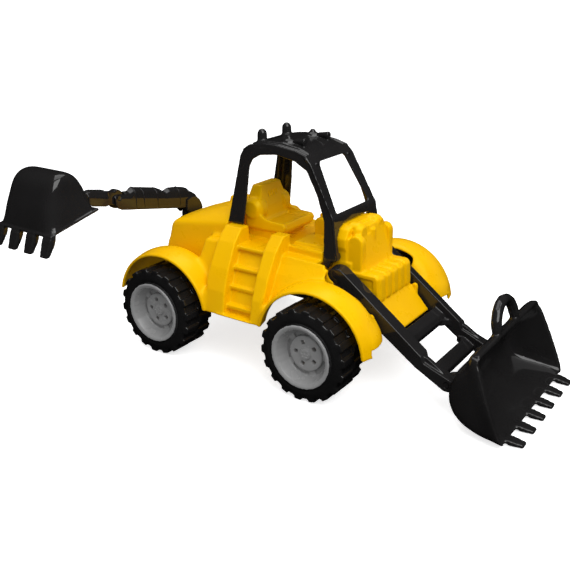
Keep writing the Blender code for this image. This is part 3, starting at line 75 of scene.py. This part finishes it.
def node_material(name, colour, roughness, specular=0.5, tint=(1.0, 1.0, 1.0)):
    """A Principled material, its constant values set on the shader's own sockets."""
    material = bpy.data.materials.new(name)
    material.use_nodes = True
    shader = material.node_tree.nodes["Principled BSDF"]
    shader.inputs["Base Color"].default_value = (*colour, 1)
    shader.inputs["Roughness"].default_value = roughness
    shader.inputs["Specular IOR Level"].default_value = specular
    shader.inputs["Specular Tint"].default_value = (*tint, 1)
    return material, material.node_tree, shader


def noise_node(tree, scale, detail, rough):
    """Noise over the piece's own coordinates, in metres."""
    place = tree.nodes.new("ShaderNodeTexCoord")
    noise = tree.nodes.new("ShaderNodeTexNoise")
    noise.inputs["Scale"].default_value = scale
    noise.inputs["Detail"].default_value = detail
    noise.inputs["Roughness"].default_value = rough
    tree.links.new(place.outputs["Object"], noise.inputs["Vector"])
    return noise


def mapped(tree, value, start, end, low, high):
    """A shader value that goes from low to high as its input goes from start to end."""
    spread = tree.nodes.new("ShaderNodeMapRange")
    for name, number in (("From Min", start), ("From Max", end), ("To Min", low), ("To Max", high)):
        spread.inputs[name].default_value = number
    tree.links.new(value, spread.inputs["Value"])
    return spread.outputs["Result"]


def moulded_plastic(name, colour, deeper, roughness, grain, bump, specular=0.5,
                    tint=(1.0, 1.0, 1.0)):
    """Moulded plastic: a faint flow in its colour, a fine surface grain and uneven gloss."""
    material, tree, shader = node_material(name, colour, roughness, specular, tint)
    flow = noise_node(tree, *COLOUR_FLOW)
    blend = tree.nodes.new("ShaderNodeMix")
    blend.data_type = "RGBA"
    blend.inputs["A"].default_value = (*deeper, 1)
    blend.inputs["B"].default_value = (*colour, 1)
    tree.links.new(mapped(tree, flow.outputs["Fac"], 0.3, 0.6, 0.0, 1.0), blend.inputs["Factor"])
    tree.links.new(blend.outputs["Result"], shader.inputs["Base Color"])
    patches = noise_node(tree, *GLOSS_PATCHES)
    gloss = mapped(tree, patches.outputs["Fac"], 0.3, 0.7, roughness * 0.85, roughness * 1.2)
    tree.links.new(gloss, shader.inputs["Roughness"])
    fine = noise_node(tree, grain, GRAIN_DETAIL, GRAIN_ROUGHNESS)
    relief = tree.nodes.new("ShaderNodeBump")
    relief.inputs["Strength"].default_value = bump
    relief.inputs["Distance"].default_value = RELIEF_DEPTH
    tree.links.new(fine.outputs["Fac"], relief.inputs["Height"])
    tree.links.new(relief.outputs["Normal"], shader.inputs["Normal"])
    return material


# Name, colour, deeper colour, roughness, grains in a metre, relief.
YELLOW = moulded_plastic("yellow_moulded_plastic", (0.84, 0.46, 0.0), (0.82, 0.43, 0.0),
                         0.3, 420.0, 0.08, specular=0.45, tint=(1.0, 0.95, 0.1))
BLACK = moulded_plastic("black_moulded_plastic", (0.0160, 0.0154, 0.0156), (0.0130, 0.0125, 0.0127),
                        0.09, 420.0, 0.02)
TYRE = moulded_plastic("tyre_plastic", (0.0110, 0.0107, 0.0108), (0.0085, 0.0084, 0.0086),
                       0.16, 520.0, 0.04)
GREY = moulded_plastic("grey_moulded_plastic", (0.300, 0.300, 0.300), (0.275, 0.275, 0.275),
                       0.25, 420.0, 0.08)
STEEL = moulded_plastic("pin_steel", (0.5, 0.5, 0.52), (0.42, 0.42, 0.44), 0.3, 700.0, 0.1)
STEEL.node_tree.nodes["Principled BSDF"].inputs["Metallic"].default_value = 1.0

# ---- moulded pieces --------------------------------------------------------------


BODY_OF = {node: body for body, nodes in frame["record"]["behaviour"]["bodies"].items()
           for node in nodes}
# How far a point goes to the middle of its neighbours, one pull after the other.
ROUNDING_PULLS = (0.5,)
EASING_PULLS = (0.6, -0.61)


def apply_modifiers(piece):
    graph = bpy.context.evaluated_depsgraph_get()
    mesh = bpy.data.meshes.new_from_object(piece.evaluated_get(graph))
    piece.modifiers.clear()
    old = piece.data
    piece.data = mesh
    bpy.data.meshes.remove(old)


def eased(points, edges, steps, pulls, part):
    """Points drawn towards their neighbours, pull by pull; part is each point's share in it."""
    first, second = edges
    count = len(points)
    degree = np.maximum(
        np.bincount(first, minlength=count) + np.bincount(second, minlength=count), 1)
    for step in range(steps):
        away = np.empty_like(points)
        for axis in range(3):
            value = points[:, axis]
            near = (np.bincount(first, value[second], count)
                    + np.bincount(second, value[first], count))
            away[:, axis] = near / degree - value
        points = points + (pulls[step % len(pulls)] * part)[:, None] * away
    return points


def reshape(piece, node, smoothing):
    """Bends the dense mesh, rounds it where its node asks for it, eases its steps, swells it."""
    mesh = piece.data
    count = len(mesh.vertices)
    points = np.empty(count * 3)
    mesh.vertices.foreach_get("co", points)
    edges = np.empty(len(mesh.edges) * 2, dtype=np.int64)
    mesh.edges.foreach_get("vertices", edges)
    edges = edges.reshape(-1, 2).T
    offset = np.array(piece.matrix_world.translation) - np.array((0, 0, FLOOR_Z))
    points = (points.reshape(count, 3) + offset) / MM
    if node in BENT:
        points = BENT[node](points)
    if node in ROUNDED:
        steps, share = ROUNDED[node]
        steps = steps
        points = eased(points, edges, steps, ROUNDING_PULLS, share(points))
    points = eased(points, edges, smoothing, EASING_PULLS, np.ones(count))
    if node in SWOLLEN:
        mesh.vertices.foreach_set("co", (points * MM - offset).ravel())
        mesh.update()
        normals = np.empty(count * 3)
        mesh.vertices.foreach_get("normal", normals)
        points = points + normals.reshape(count, 3) * SWOLLEN[node](points)[:, None]
    mesh.vertices.foreach_set("co", (points * MM - offset).ravel())
    mesh.update()


def ramp(value, low, high):
    """0 below low, 1 above high, and even between them."""
    return np.clip((value - low) / (high - low), 0, 1)


# ---- what is bent, rounded and swollen, in mm above the floor -------------------------

# The loader bucket's mouth: (x, z) of its top and bottom edge, and half its width at both.
MOUTH_TOP = np.array((293.0, 90.0))
MOUTH_FOOT = np.array((331.0, 2.0))
MOUTH_HALF_TOP, MOUTH_HALF_FOOT = 93.5, 98.5
# How far its ends bow out, and which part of a sine's arch the bow follows down the mouth.
MOUTH_BOW = 9.5
BOW_START, BOW_SPAN = 0.16, 0.66
# Its corners: how far beyond the edge the rounding ends, and its radius.
TOP_CORNER, FOOT_CORNER = (3.0, 15.0), (2.0, 16.0)
# How far from the mouth's plane the rounding fades out, and how far behind it the bowl starts.
MOUTH_FADE = 26.0
RIM_DEPTH = 3.0
# How far the bucket's back bulges backwards and upwards, and its lean: run in x for each step in z.
BACK_BULGE = (2.4, 1.8)
BACK_LEAN = 0.55


def bulged_back(points):
    """The loader bucket with its upper back, between rim and lugs, bulging towards the crossbar."""
    points = points.copy()
    share = ramp(points[:, 2], 50.0, 60.0) * (1 - ramp(points[:, 2], 84.0, 90.0))
    behind_rim = points[:, 0] - (points[:, 2] - MOUTH_TOP[1]) * BACK_LEAN
    share = share * (1 - ramp(behind_rim, 296.0, 304.0))
    points[:, 0] -= BACK_BULGE[0] * share
    points[:, 2] += BACK_BULGE[1] * share
    return points


def rounded_mouth(points):
    """The loader bucket's mouth with bowed ends and round corners, which fade towards its back."""
    points = bulged_back(points)
    along = MOUTH_FOOT - MOUTH_TOP
    length = np.hypot(*along)
    along = along / length
    side = points[:, (0, 2)] - MOUTH_TOP
    run = side @ along
    depth = np.abs(side @ np.array((along[1], -along[0])))
    half = MOUTH_HALF_TOP + (MOUTH_HALF_FOOT - MOUTH_HALF_TOP) * run / length
    across, outwards = np.abs(points[:, 1]), np.sign(points[:, 1])
    moved = points.copy()
    arch = np.sin(pi * np.clip(BOW_START + BOW_SPAN * run / length, 0, 1))
    bow = MOUTH_BOW * arch * ramp(across, 30.0, half)
    moved[:, 1] += outwards * bow * (1 - ramp(depth, 8.0, 2 * MOUTH_FADE))
    fade = 1 - ramp(depth, 6.0, MOUTH_FADE)
    for end, sign, (beyond, radius) in ((0, -1, TOP_CORNER), (length, 1, FOOT_CORNER)):
        u = np.clip((across - (half - radius)) / radius, 0, 1)
        v = np.clip((sign * run - (sign * end + beyond - radius)) / radius, 0, 1)
        inward = u * (1 - np.sqrt(1 - v * v / 2)) * radius * fade
        back = v * (1 - np.sqrt(1 - u * u / 2)) * radius * fade
        moved[:, 1] -= outwards * inward
        moved[:, 0] -= sign * along[0] * back
        moved[:, 2] -= sign * along[1] * back
    return moved


def bucket_scoop(points):
    """The loader bucket's bowl, without its rim, teeth, handle and lugs."""
    x, y, z = points.T
    reach, drop = MOUTH_FOOT[0] - MOUTH_TOP[0], MOUTH_TOP[1] - MOUTH_FOOT[1]
    mouth_x = MOUTH_TOP[0] - RIM_DEPTH + (MOUTH_TOP[1] - z) * reach / drop
    return ramp(mouth_x - x, -4.0, 6.0) * ramp(x, 258.0, 262.0) * (1 - ramp(z, 84.0, 88.0))


# The backhoe bucket's rim: (reach, z) of its near and far edge.
HOE_RIM_NEAR, HOE_RIM_FAR = (198.5, 202), (266.5, 188)


def hoe_shell(points):
    """The backhoe bucket's back and ends, without its rim, teeth and lugs."""
    x, y, z = points.T
    reach = -y
    (near, near_z), (far, far_z) = HOE_RIM_NEAR, HOE_RIM_FAR
    over_rim = z - (near_z + (far_z - near_z) * (reach - near) / (far - near))
    return ramp(over_rim, 3.0, 8.0) * ramp(reach, 206.0, 210.0)


def drawn(points, strokes):
    """How far strokes push each point out: (path, half width, height). A groove's height is < 0."""
    amount = np.zeros(len(points))
    for path, width, height in strokes:
        for low, high in zip(path, path[1:]):
            low, high = np.array(low, float), np.array(high, float)
            margin = 3 * width
            above = points > np.minimum(low, high) - margin
            below = points < np.maximum(low, high) + margin
            chosen = np.nonzero(np.all(above & below, axis=1))[0]
            along = high - low
            share = np.clip((points[chosen] - low) @ along / (along @ along), 0, 1)
            away = np.linalg.norm(points[chosen] - low - share[:, None] * along, axis=1)
            push = height * np.exp(-((away / width) ** 2))
            stronger = np.maximum if height > 0 else np.minimum
            amount[chosen] = stronger(amount[chosen], push)
    return amount


def both_sides(strokes):
    """The strokes and their mirror images."""
    return strokes + [([(x, -y, z) for x, y, z in path], width, height)
                      for path, width, height in strokes]


# A slot's half width. Each slot of the seat and of the engine is a path from its foot to its head.
SLOT_HALF = 0.9
SEAT_SLOTS = [([(-18.6, y, 191.0), (-19.4, y, 195.5)], SLOT_HALF, -2.2)
              for y in (-7.5, -2.5, 2.5, 7.5)]
ENGINE_SLOTS = [
    ([foot, head], SLOT_HALF, -2.4)
    for foot, head in (
        ((122.9, -12.2, 168.0), (122.2, -12.2, 176.5)),
        ((122.9, -8.2, 168.5), (121.8, -8.2, 177.0)),
        ((123.4, 16.4, 170.0), (122.6, 16.4, 178.0)),
        ((123.4, 20.4, 170.0), (122.6, 20.4, 178.0)),
        ((112.8, -31.0, 170.0), (113.2, -30.0, 178.0)),
    )
]
SHELF_GROOVES = [
    ([(137.0, y + 2.0, 130.0), (146.0, y, 129.6), (152.5, y, 128.0)], SLOT_HALF, -2.2)
    for y in (-17.0, 1.0, 18.0)
]
PILLAR_RIDGE = [(57.0, 46.0, 254.0), (65.0, 46.4, 247.5), (98.2, 49.7, 189.3), (105.0, 52.0, 148.0)]
ROOF_EDGE_RIDGE = [(-28.0, 45.8, 253.5), (-18.5, 45.0, 260.0), (-2.0, 44.6, 262.4),
                   (18.0, 44.6, 262.4), (44.0, 44.8, 258.9), (59.0, 45.4, 254.5)]
ROOF_INNER_RIDGE = [(-12.0, 40.5, 262.0), (-2.0, 40.5, 262.5), (18.0, 40.5, 262.5),
                    (44.0, 40.5, 259.0), (57.0, 40.5, 255.5)]
MARKER_LAMP = [(66.9, 36.6, 246.2), (66.9, 33.4, 246.2)]
CAB_RIDGES = both_sides([(PILLAR_RIDGE, 1.1, 1.2), (ROOF_EDGE_RIDGE, 1.0, 1.3),
                         (ROOF_INNER_RIDGE, 0.9, 1.3), (MARKER_LAMP, 1.3, 1.8)])


def body_detail(points):
    """The slots in the seat's back and the grooves of the engine."""
    return drawn(points, SEAT_SLOTS + ENGINE_SLOTS + SHELF_GROOVES)


def cab_detail(points):
    """Ridges down the front pillars and along the roof, and a marker lamp over each pillar."""
    return drawn(points, CAB_RIDGES)


def bucket_swell(points):
    """The loader bucket's handle and teeth are plump."""
    x, y, z = points.T
    return 0.7 * ramp(z, 93.0, 97.0) + 0.8 * ramp(x, 331.0, 334.0)


def hoe_swell(points):
    """So are the backhoe bucket's teeth."""
    return 0.7 * (1 - ramp(points[:, 2], 184.0, 187.0))


def body_fenders(points):
    """The fenders and the hood, whose curves are rounder than the rest."""
    x, y, z = points.T
    away = np.hypot(np.abs(x) - WHEEL_X, z - WHEEL_Z)
    dome = ramp(away, 58.0, 60.0) * (1 - ramp(away, 78.0, 80.0)) * ramp(np.abs(y), 58.0, 62.0)
    fender = dome * (1 - 0.9 * ramp(np.abs(y), 109.0, 114.0)) * ramp(z, 70.0, 84.0)
    hood = (1 - ramp(x, -56.0, -50.0)) * ramp(z, 122.0, 128.0)
    return 0.06 + 0.94 * np.maximum(fender, 0.5 * hood)


def everywhere(points):
    return np.ones(len(points))


# What a node's points go through: bent by a function, rounded in so many steps where the share
# says, and swollen by so many mm.
BENT = {"loader_bucket": rounded_mouth}
ROUNDED = {
    "loader_bucket": (320, bucket_scoop),
    "backhoe_bucket": (240, hoe_shell),
    "body_shell": (100, body_fenders),
    "cab_frame": (14, everywhere),
}
SWOLLEN = {
    "loader_bucket": bucket_swell,
    "backhoe_bucket": hoe_swell,
    "body_shell": body_detail,
    "cab_frame": cab_detail,
}


def moulded(node, material, voxel, smoothing, keep):
    """A CAD node's shape with the rounded edges of a moulding: remeshed, eased and thinned out."""
    source = frame["nodes"][node]
    mesh = source.data.copy()
    mesh.materials.clear()
    piece = bpy.data.objects.new(node + "_moulding", mesh)
    bpy.context.scene.collection.objects.link(piece)
    piece.matrix_world = source.matrix_world.copy()
    remesh = piece.modifiers.new("skin", "REMESH")
    remesh.mode = "VOXEL"
    remesh.voxel_size = voxel
    apply_modifiers(piece)
    reshape(piece, node, smoothing)
    soft = piece.modifiers.new("round", "SMOOTH")
    soft.factor = 0.5
    soft.iterations = 2
    piece.modifiers.new("thin", "DECIMATE").ratio = keep
    apply_modifiers(piece)
    piece.data.shade_smooth()
    piece.data.materials.append(material)
    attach(piece, BODY_OF[node])
    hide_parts(node)


# Node: material, slot, voxel in mm, easing steps, share of the triangles kept.
MOULDED = {
    "body_shell": (YELLOW, "yellow_plastic", 0.95, 6, 0.205),
    "chassis": (BLACK, "black_plastic", 1.4, 4, 0.3),
    "cab_frame": (BLACK, "black_plastic", 0.75, 16, 0.30),
    "loader_arm": (BLACK, "black_plastic", 0.8, 16, 0.30),
    "loader_bucket": (BLACK, "black_plastic", 0.9, 40, 0.26),
    "swing_post": (BLACK, "black_plastic", 0.7, 6, 0.35),
    "backhoe_boom": (BLACK, "black_plastic", 0.7, 16, 0.35),
    "backhoe_stick": (BLACK, "black_plastic", 0.7, 16, 0.35),
    "backhoe_bucket": (BLACK, "black_plastic", 0.75, 60, 0.30),
}
for side in ("front_left", "front_right", "rear_left", "rear_right"):
    MOULDED[side + "_tyre"] = (TYRE, "tyre", 1.0, 6, 0.3)
    MOULDED[side + "_hub"] = (GREY, "grey_plastic", 0.7, 6, 0.25)

coarse = 1
for node, (material, slot_name, voxel, smoothing, keep) in MOULDED.items():
    moulded(node, material, coarse * voxel * MM, smoothing, keep)

# ---- fine detail -----------------------------------------------------------------


def added(name, bm, material, body, smooth=True):
    """A piece of its own that rides on a body; its shape is given in metres above the floor."""
    mesh = bpy.data.meshes.new(name)
    bmesh.ops.recalc_face_normals(bm, faces=bm.faces)
    bm.to_mesh(mesh)
    bm.free()
    piece = bpy.data.objects.new(name, mesh)
    bpy.context.scene.collection.objects.link(piece)
    piece.location = (0, 0, FLOOR_Z)
    bpy.context.view_layer.update()
    if smooth:
        mesh.shade_smooth()
    mesh.materials.append(material)
    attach(piece, body)


def join_rings(bm, rings):
    """Faces between each ring of vertices and the next, and one over the first ring."""
    sides = len(rings[0])
    for low, high in zip(rings, rings[1:]):
        for j in range(sides):
            k = (j + 1) % sides
            bm.faces.new((low[j], low[k], high[k], high[j]))
    bm.faces.new(rings[0][::-1])


# A bead's radius at its ends, as a share of its radius between them.
BEAD_END = 0.35


def bead(bm, path, radius, sides=8):
    """A round bead along a path, its ends drawn in."""
    rings = []
    count = len(path)
    for i, point in enumerate(path):
        before, after = path[max(i - 1, 0)], path[min(i + 1, count - 1)]
        along = (after - before).normalized()
        guide = Vector((1, 0, 0)) if abs(along.x) < 0.9 else Vector((0, 1, 0))
        across = along.cross(guide).normalized()
        other = along.cross(across)
        size = radius * (BEAD_END if i in (0, count - 1) else 1)
        rings.append([bm.verts.new(point + size * (cos(a) * across + sin(a) * other))
                      for a in (2 * pi * j / sides for j in range(sides))])
    join_rings(bm, rings)
    bm.faces.new(rings[-1])


# How deep a button's foot is sunk in what it stands on.
BUTTON_SINK = 0.5 * MM


def button(bm, place, direction, radius, height, sides=14, rows=4):
    """A low dome that stands on a face, its foot sunk in it."""
    out = Vector(direction).normalized()
    guide = Vector((0, 0, 1)) if abs(out.z) < 0.9 else Vector((1, 0, 0))
    across = out.cross(guide).normalized()
    other = out.cross(across)
    rings = []
    for i in range(rows):
        share = i / rows
        size = radius * sqrt(1 - share ** 2)
        centre = Vector(place) + out * (height * share if i else -BUTTON_SINK)
        rings.append([bm.verts.new(centre + size * (cos(a) * across + sin(a) * other))
                      for a in (2 * pi * j / sides for j in range(sides))])
    crown = bm.verts.new(Vector(place) + out * height)
    join_rings(bm, rings)
    for j in range(sides):
        bm.faces.new((rings[-1][j], rings[-1][(j + 1) % sides], crown))


# The bumps on a hub's cap: the cap's face, how many stand around the middle one, and their sizes.
CAP_Y = 122 * MM
CAP_BUMPS = 6
CAP_BUMP_RING, CAP_BUMP_RADIUS, CAP_BUMP_HEIGHT = 4.3 * MM, 1.5 * MM, 0.9 * MM


def hub_bumps():
    """Small bumps on each hub's cap, one in the middle and a ring around it."""
    for end, x in (("front", WHEEL_X), ("rear", -WHEEL_X)):
        for side, out in (("left", 1), ("right", -1)):
            bm = bmesh.new()
            for i in range(CAP_BUMPS + 1):
                angle = 2 * pi * i / CAP_BUMPS
                away = CAP_BUMP_RING if i < CAP_BUMPS else 0
                place = (x * MM + away * cos(angle), out * CAP_Y, WHEEL_Z * MM + away * sin(angle))
                button(bm, place, (0, out, 0), CAP_BUMP_RADIUS, CAP_BUMP_HEIGHT)
            added(f"{end}_{side}_hub_bumps", bm, GREY, f"{end}_{side}_wheel")


# The boom, in mm: where the swing axis is, half its width, and its rings, each with its reach and
# the heights of its foot, of the side's upper edge and of the crown.
SWING_X, BOOM_HALF = -159.0, 8.0
BOOM_RINGS = ((24, 161, 171, 185.5), (66, 169, 179.4, 193.2), (90, 173, 184.8, 198.6),
              (104, 175, 188, 202))
# A ring's right half from the side's edge up: share of the half width, share of the crown's height.
RING_SHOULDER = ((0.72, 0.68), (0.36, 0.86))
RING_RADIUS = 0.75 * MM


def boom_rings():
    """Thin raised rings over the boom's crown and down its sides."""
    bm = bmesh.new()
    for reach, foot, edge, crown in BOOM_RINGS:
        shoulder = [(share, edge + rise * (crown - edge)) for share, rise in RING_SHOULDER]
        half = [(1, foot), (1, edge), *shoulder]
        outline = [(-share, z) for share, z in half] + [(0, crown - 0.2)] + half[::-1]
        path = [Vector((SWING_X + share * BOOM_HALF, -reach, z)) * MM for share, z in outline]
        bead(bm, path, RING_RADIUS)
    added("boom_rings", bm, BLACK, "boom")


# A cheek from the side, (reach, z), its middle, and its rings from the inside out: how far each is
# from the boom's middle, and how far it is drawn in. The first lies just within the boom's side.
CHEEK = [(12, 166), (6, 168), (0, 168.5), (-6, 166.5), (-12, 162), (-16, 156), (-18, 150),
         (-17, 146.6), (8, 146.6), (13, 152)]
CHEEK_MIDDLE = Vector((-2, 158))
CHEEK_RINGS = ((7.3, 0), (9.7, 0), (10.3, 0.7))


def swing_cheeks():
    """A rounded cheek on each side of the boom's foot, which turns with the swing post."""
    bm = bmesh.new()
    for out in (-1, 1):
        rings = []
        for across, inset in CHEEK_RINGS:
            ring = []
            for corner in CHEEK:
                away = Vector(corner) - CHEEK_MIDDLE
                spot = CHEEK_MIDDLE + away * (1 - inset / away.length)
                ring.append(bm.verts.new(Vector((SWING_X + out * across, -spot.x, spot.y)) * MM))
            rings.append(ring)
        join_rings(bm, rings)
        bm.faces.new(rings[-1])
    added("swing_cheeks", bm, BLACK, "swing", smooth=False)


hub_bumps()
boom_rings()
swing_cheeks()

for node, source in frame["nodes"].items():
    if node not in MOULDED:
        for place in source.material_slots:
            place.material = STEEL if node.endswith("axle") else BLACK

# ---- floor, light and camera ------------------------------------------------------

# The camera's place in metres, and the direction in which it looks.
CAMERA_PLACE = Vector((0.5349, -0.7805, 0.3734))
CAMERA_AIM = Vector((-0.5265, 0.7675, -0.3657))
LENS, SENSOR_WIDTH = 50.0, 36.0
# The sky's strength below and above the horizon, and between which z of a direction it changes.
WORLD_BELOW, WORLD_ABOVE = 0.3, 0.80
HORIZON_LOW, HORIZON_HIGH = -0.15, 0.25
# The floor's radius in metres, and how far it lies under the wheels.
FLOOR_REACH = 20.0
FLOOR_GAP = 0.2 * MM
FLOOR_GLOW = 0.7
BACKDROP_STEPS = 64
# Name, place, what it points at, its two sides in metres, watts.
LIGHTS = (
    ("key", (0.9, -0.5, 1.3), (0.0, 0.0, 0.05), (1.2, 1.2), 17.0),
    ("top", (-0.2, 0.2, 1.6), (0.0, 0.0, 0.05), (1.2, 1.2), 8.5),
)


def make_floor():
    """A white floor that turns up into a white backdrop far away."""
    mesh = bpy.data.meshes.new("floor")
    bm = bmesh.new()
    around = [2 * pi * i / BACKDROP_STEPS for i in range(BACKDROP_STEPS)]
    foot = [bm.verts.new((FLOOR_REACH * cos(a), FLOOR_REACH * sin(a), 0)) for a in around]
    head = [bm.verts.new((FLOOR_REACH * cos(a), FLOOR_REACH * sin(a), FLOOR_REACH)) for a in around]
    bm.faces.new(foot)
    for i in range(BACKDROP_STEPS):
        k = (i + 1) % BACKDROP_STEPS
        bm.faces.new((foot[k], foot[i], head[i], head[k]))
    bm.to_mesh(mesh)
    bm.free()
    floor = bpy.data.objects.new("floor", mesh)
    bpy.context.scene.collection.objects.link(floor)
    floor.location.z = FLOOR_Z - FLOOR_GAP
    material, _, shader = node_material("floor_white", (0.8, 0.8, 0.8), 0.6, 0.1)
    shader.inputs["Emission Color"].default_value = (1.0, 1.0, 1.0, 1)
    shader.inputs["Emission Strength"].default_value = FLOOR_GLOW
    mesh.materials.append(material)
    floor.visible_glossy = False
    floor.visible_diffuse = False


def turn_towards(direction):
    return direction.to_track_quat("-Z", "Y").to_euler()


def area_light(name, place, target, size, power):
    data = bpy.data.lights.new(name, "AREA")
    data.shape = "RECTANGLE"
    data.size, data.size_y = size
    data.energy = power
    light = bpy.data.objects.new(name, data)
    bpy.context.scene.collection.objects.link(light)
    light.location = place
    light.rotation_euler = turn_towards(Vector(target) - Vector(place))


def make_world():
    """Even white light, weaker from below, that reflections don't show."""
    world = bpy.data.worlds.new("studio")
    world.use_nodes = True
    tree = world.node_tree
    background = tree.nodes["Background"]
    background.inputs["Color"].default_value = (1.0, 1.0, 1.0, 1)
    place = tree.nodes.new("ShaderNodeTexCoord")
    parts = tree.nodes.new("ShaderNodeSeparateXYZ")
    tree.links.new(place.outputs["Generated"], parts.inputs["Vector"])
    strength = mapped(tree, parts.outputs["Z"], HORIZON_LOW, HORIZON_HIGH, WORLD_BELOW, WORLD_ABOVE)
    tree.links.new(strength, background.inputs["Strength"])
    world.cycles_visibility.glossy = False
    bpy.context.scene.world = world


def make_camera():
    data = bpy.data.cameras.new("camera")
    data.lens = LENS
    data.sensor_width = SENSOR_WIDTH
    camera = bpy.data.objects.new("camera", data)
    bpy.context.scene.collection.objects.link(camera)
    camera.location = CAMERA_PLACE
    camera.rotation_euler = turn_towards(CAMERA_AIM)
    bpy.context.scene.camera = camera


bpy.context.scene.view_settings.view_transform = "Standard"
make_floor()
make_world()
for light in LIGHTS:
    area_light(*light)
make_camera()
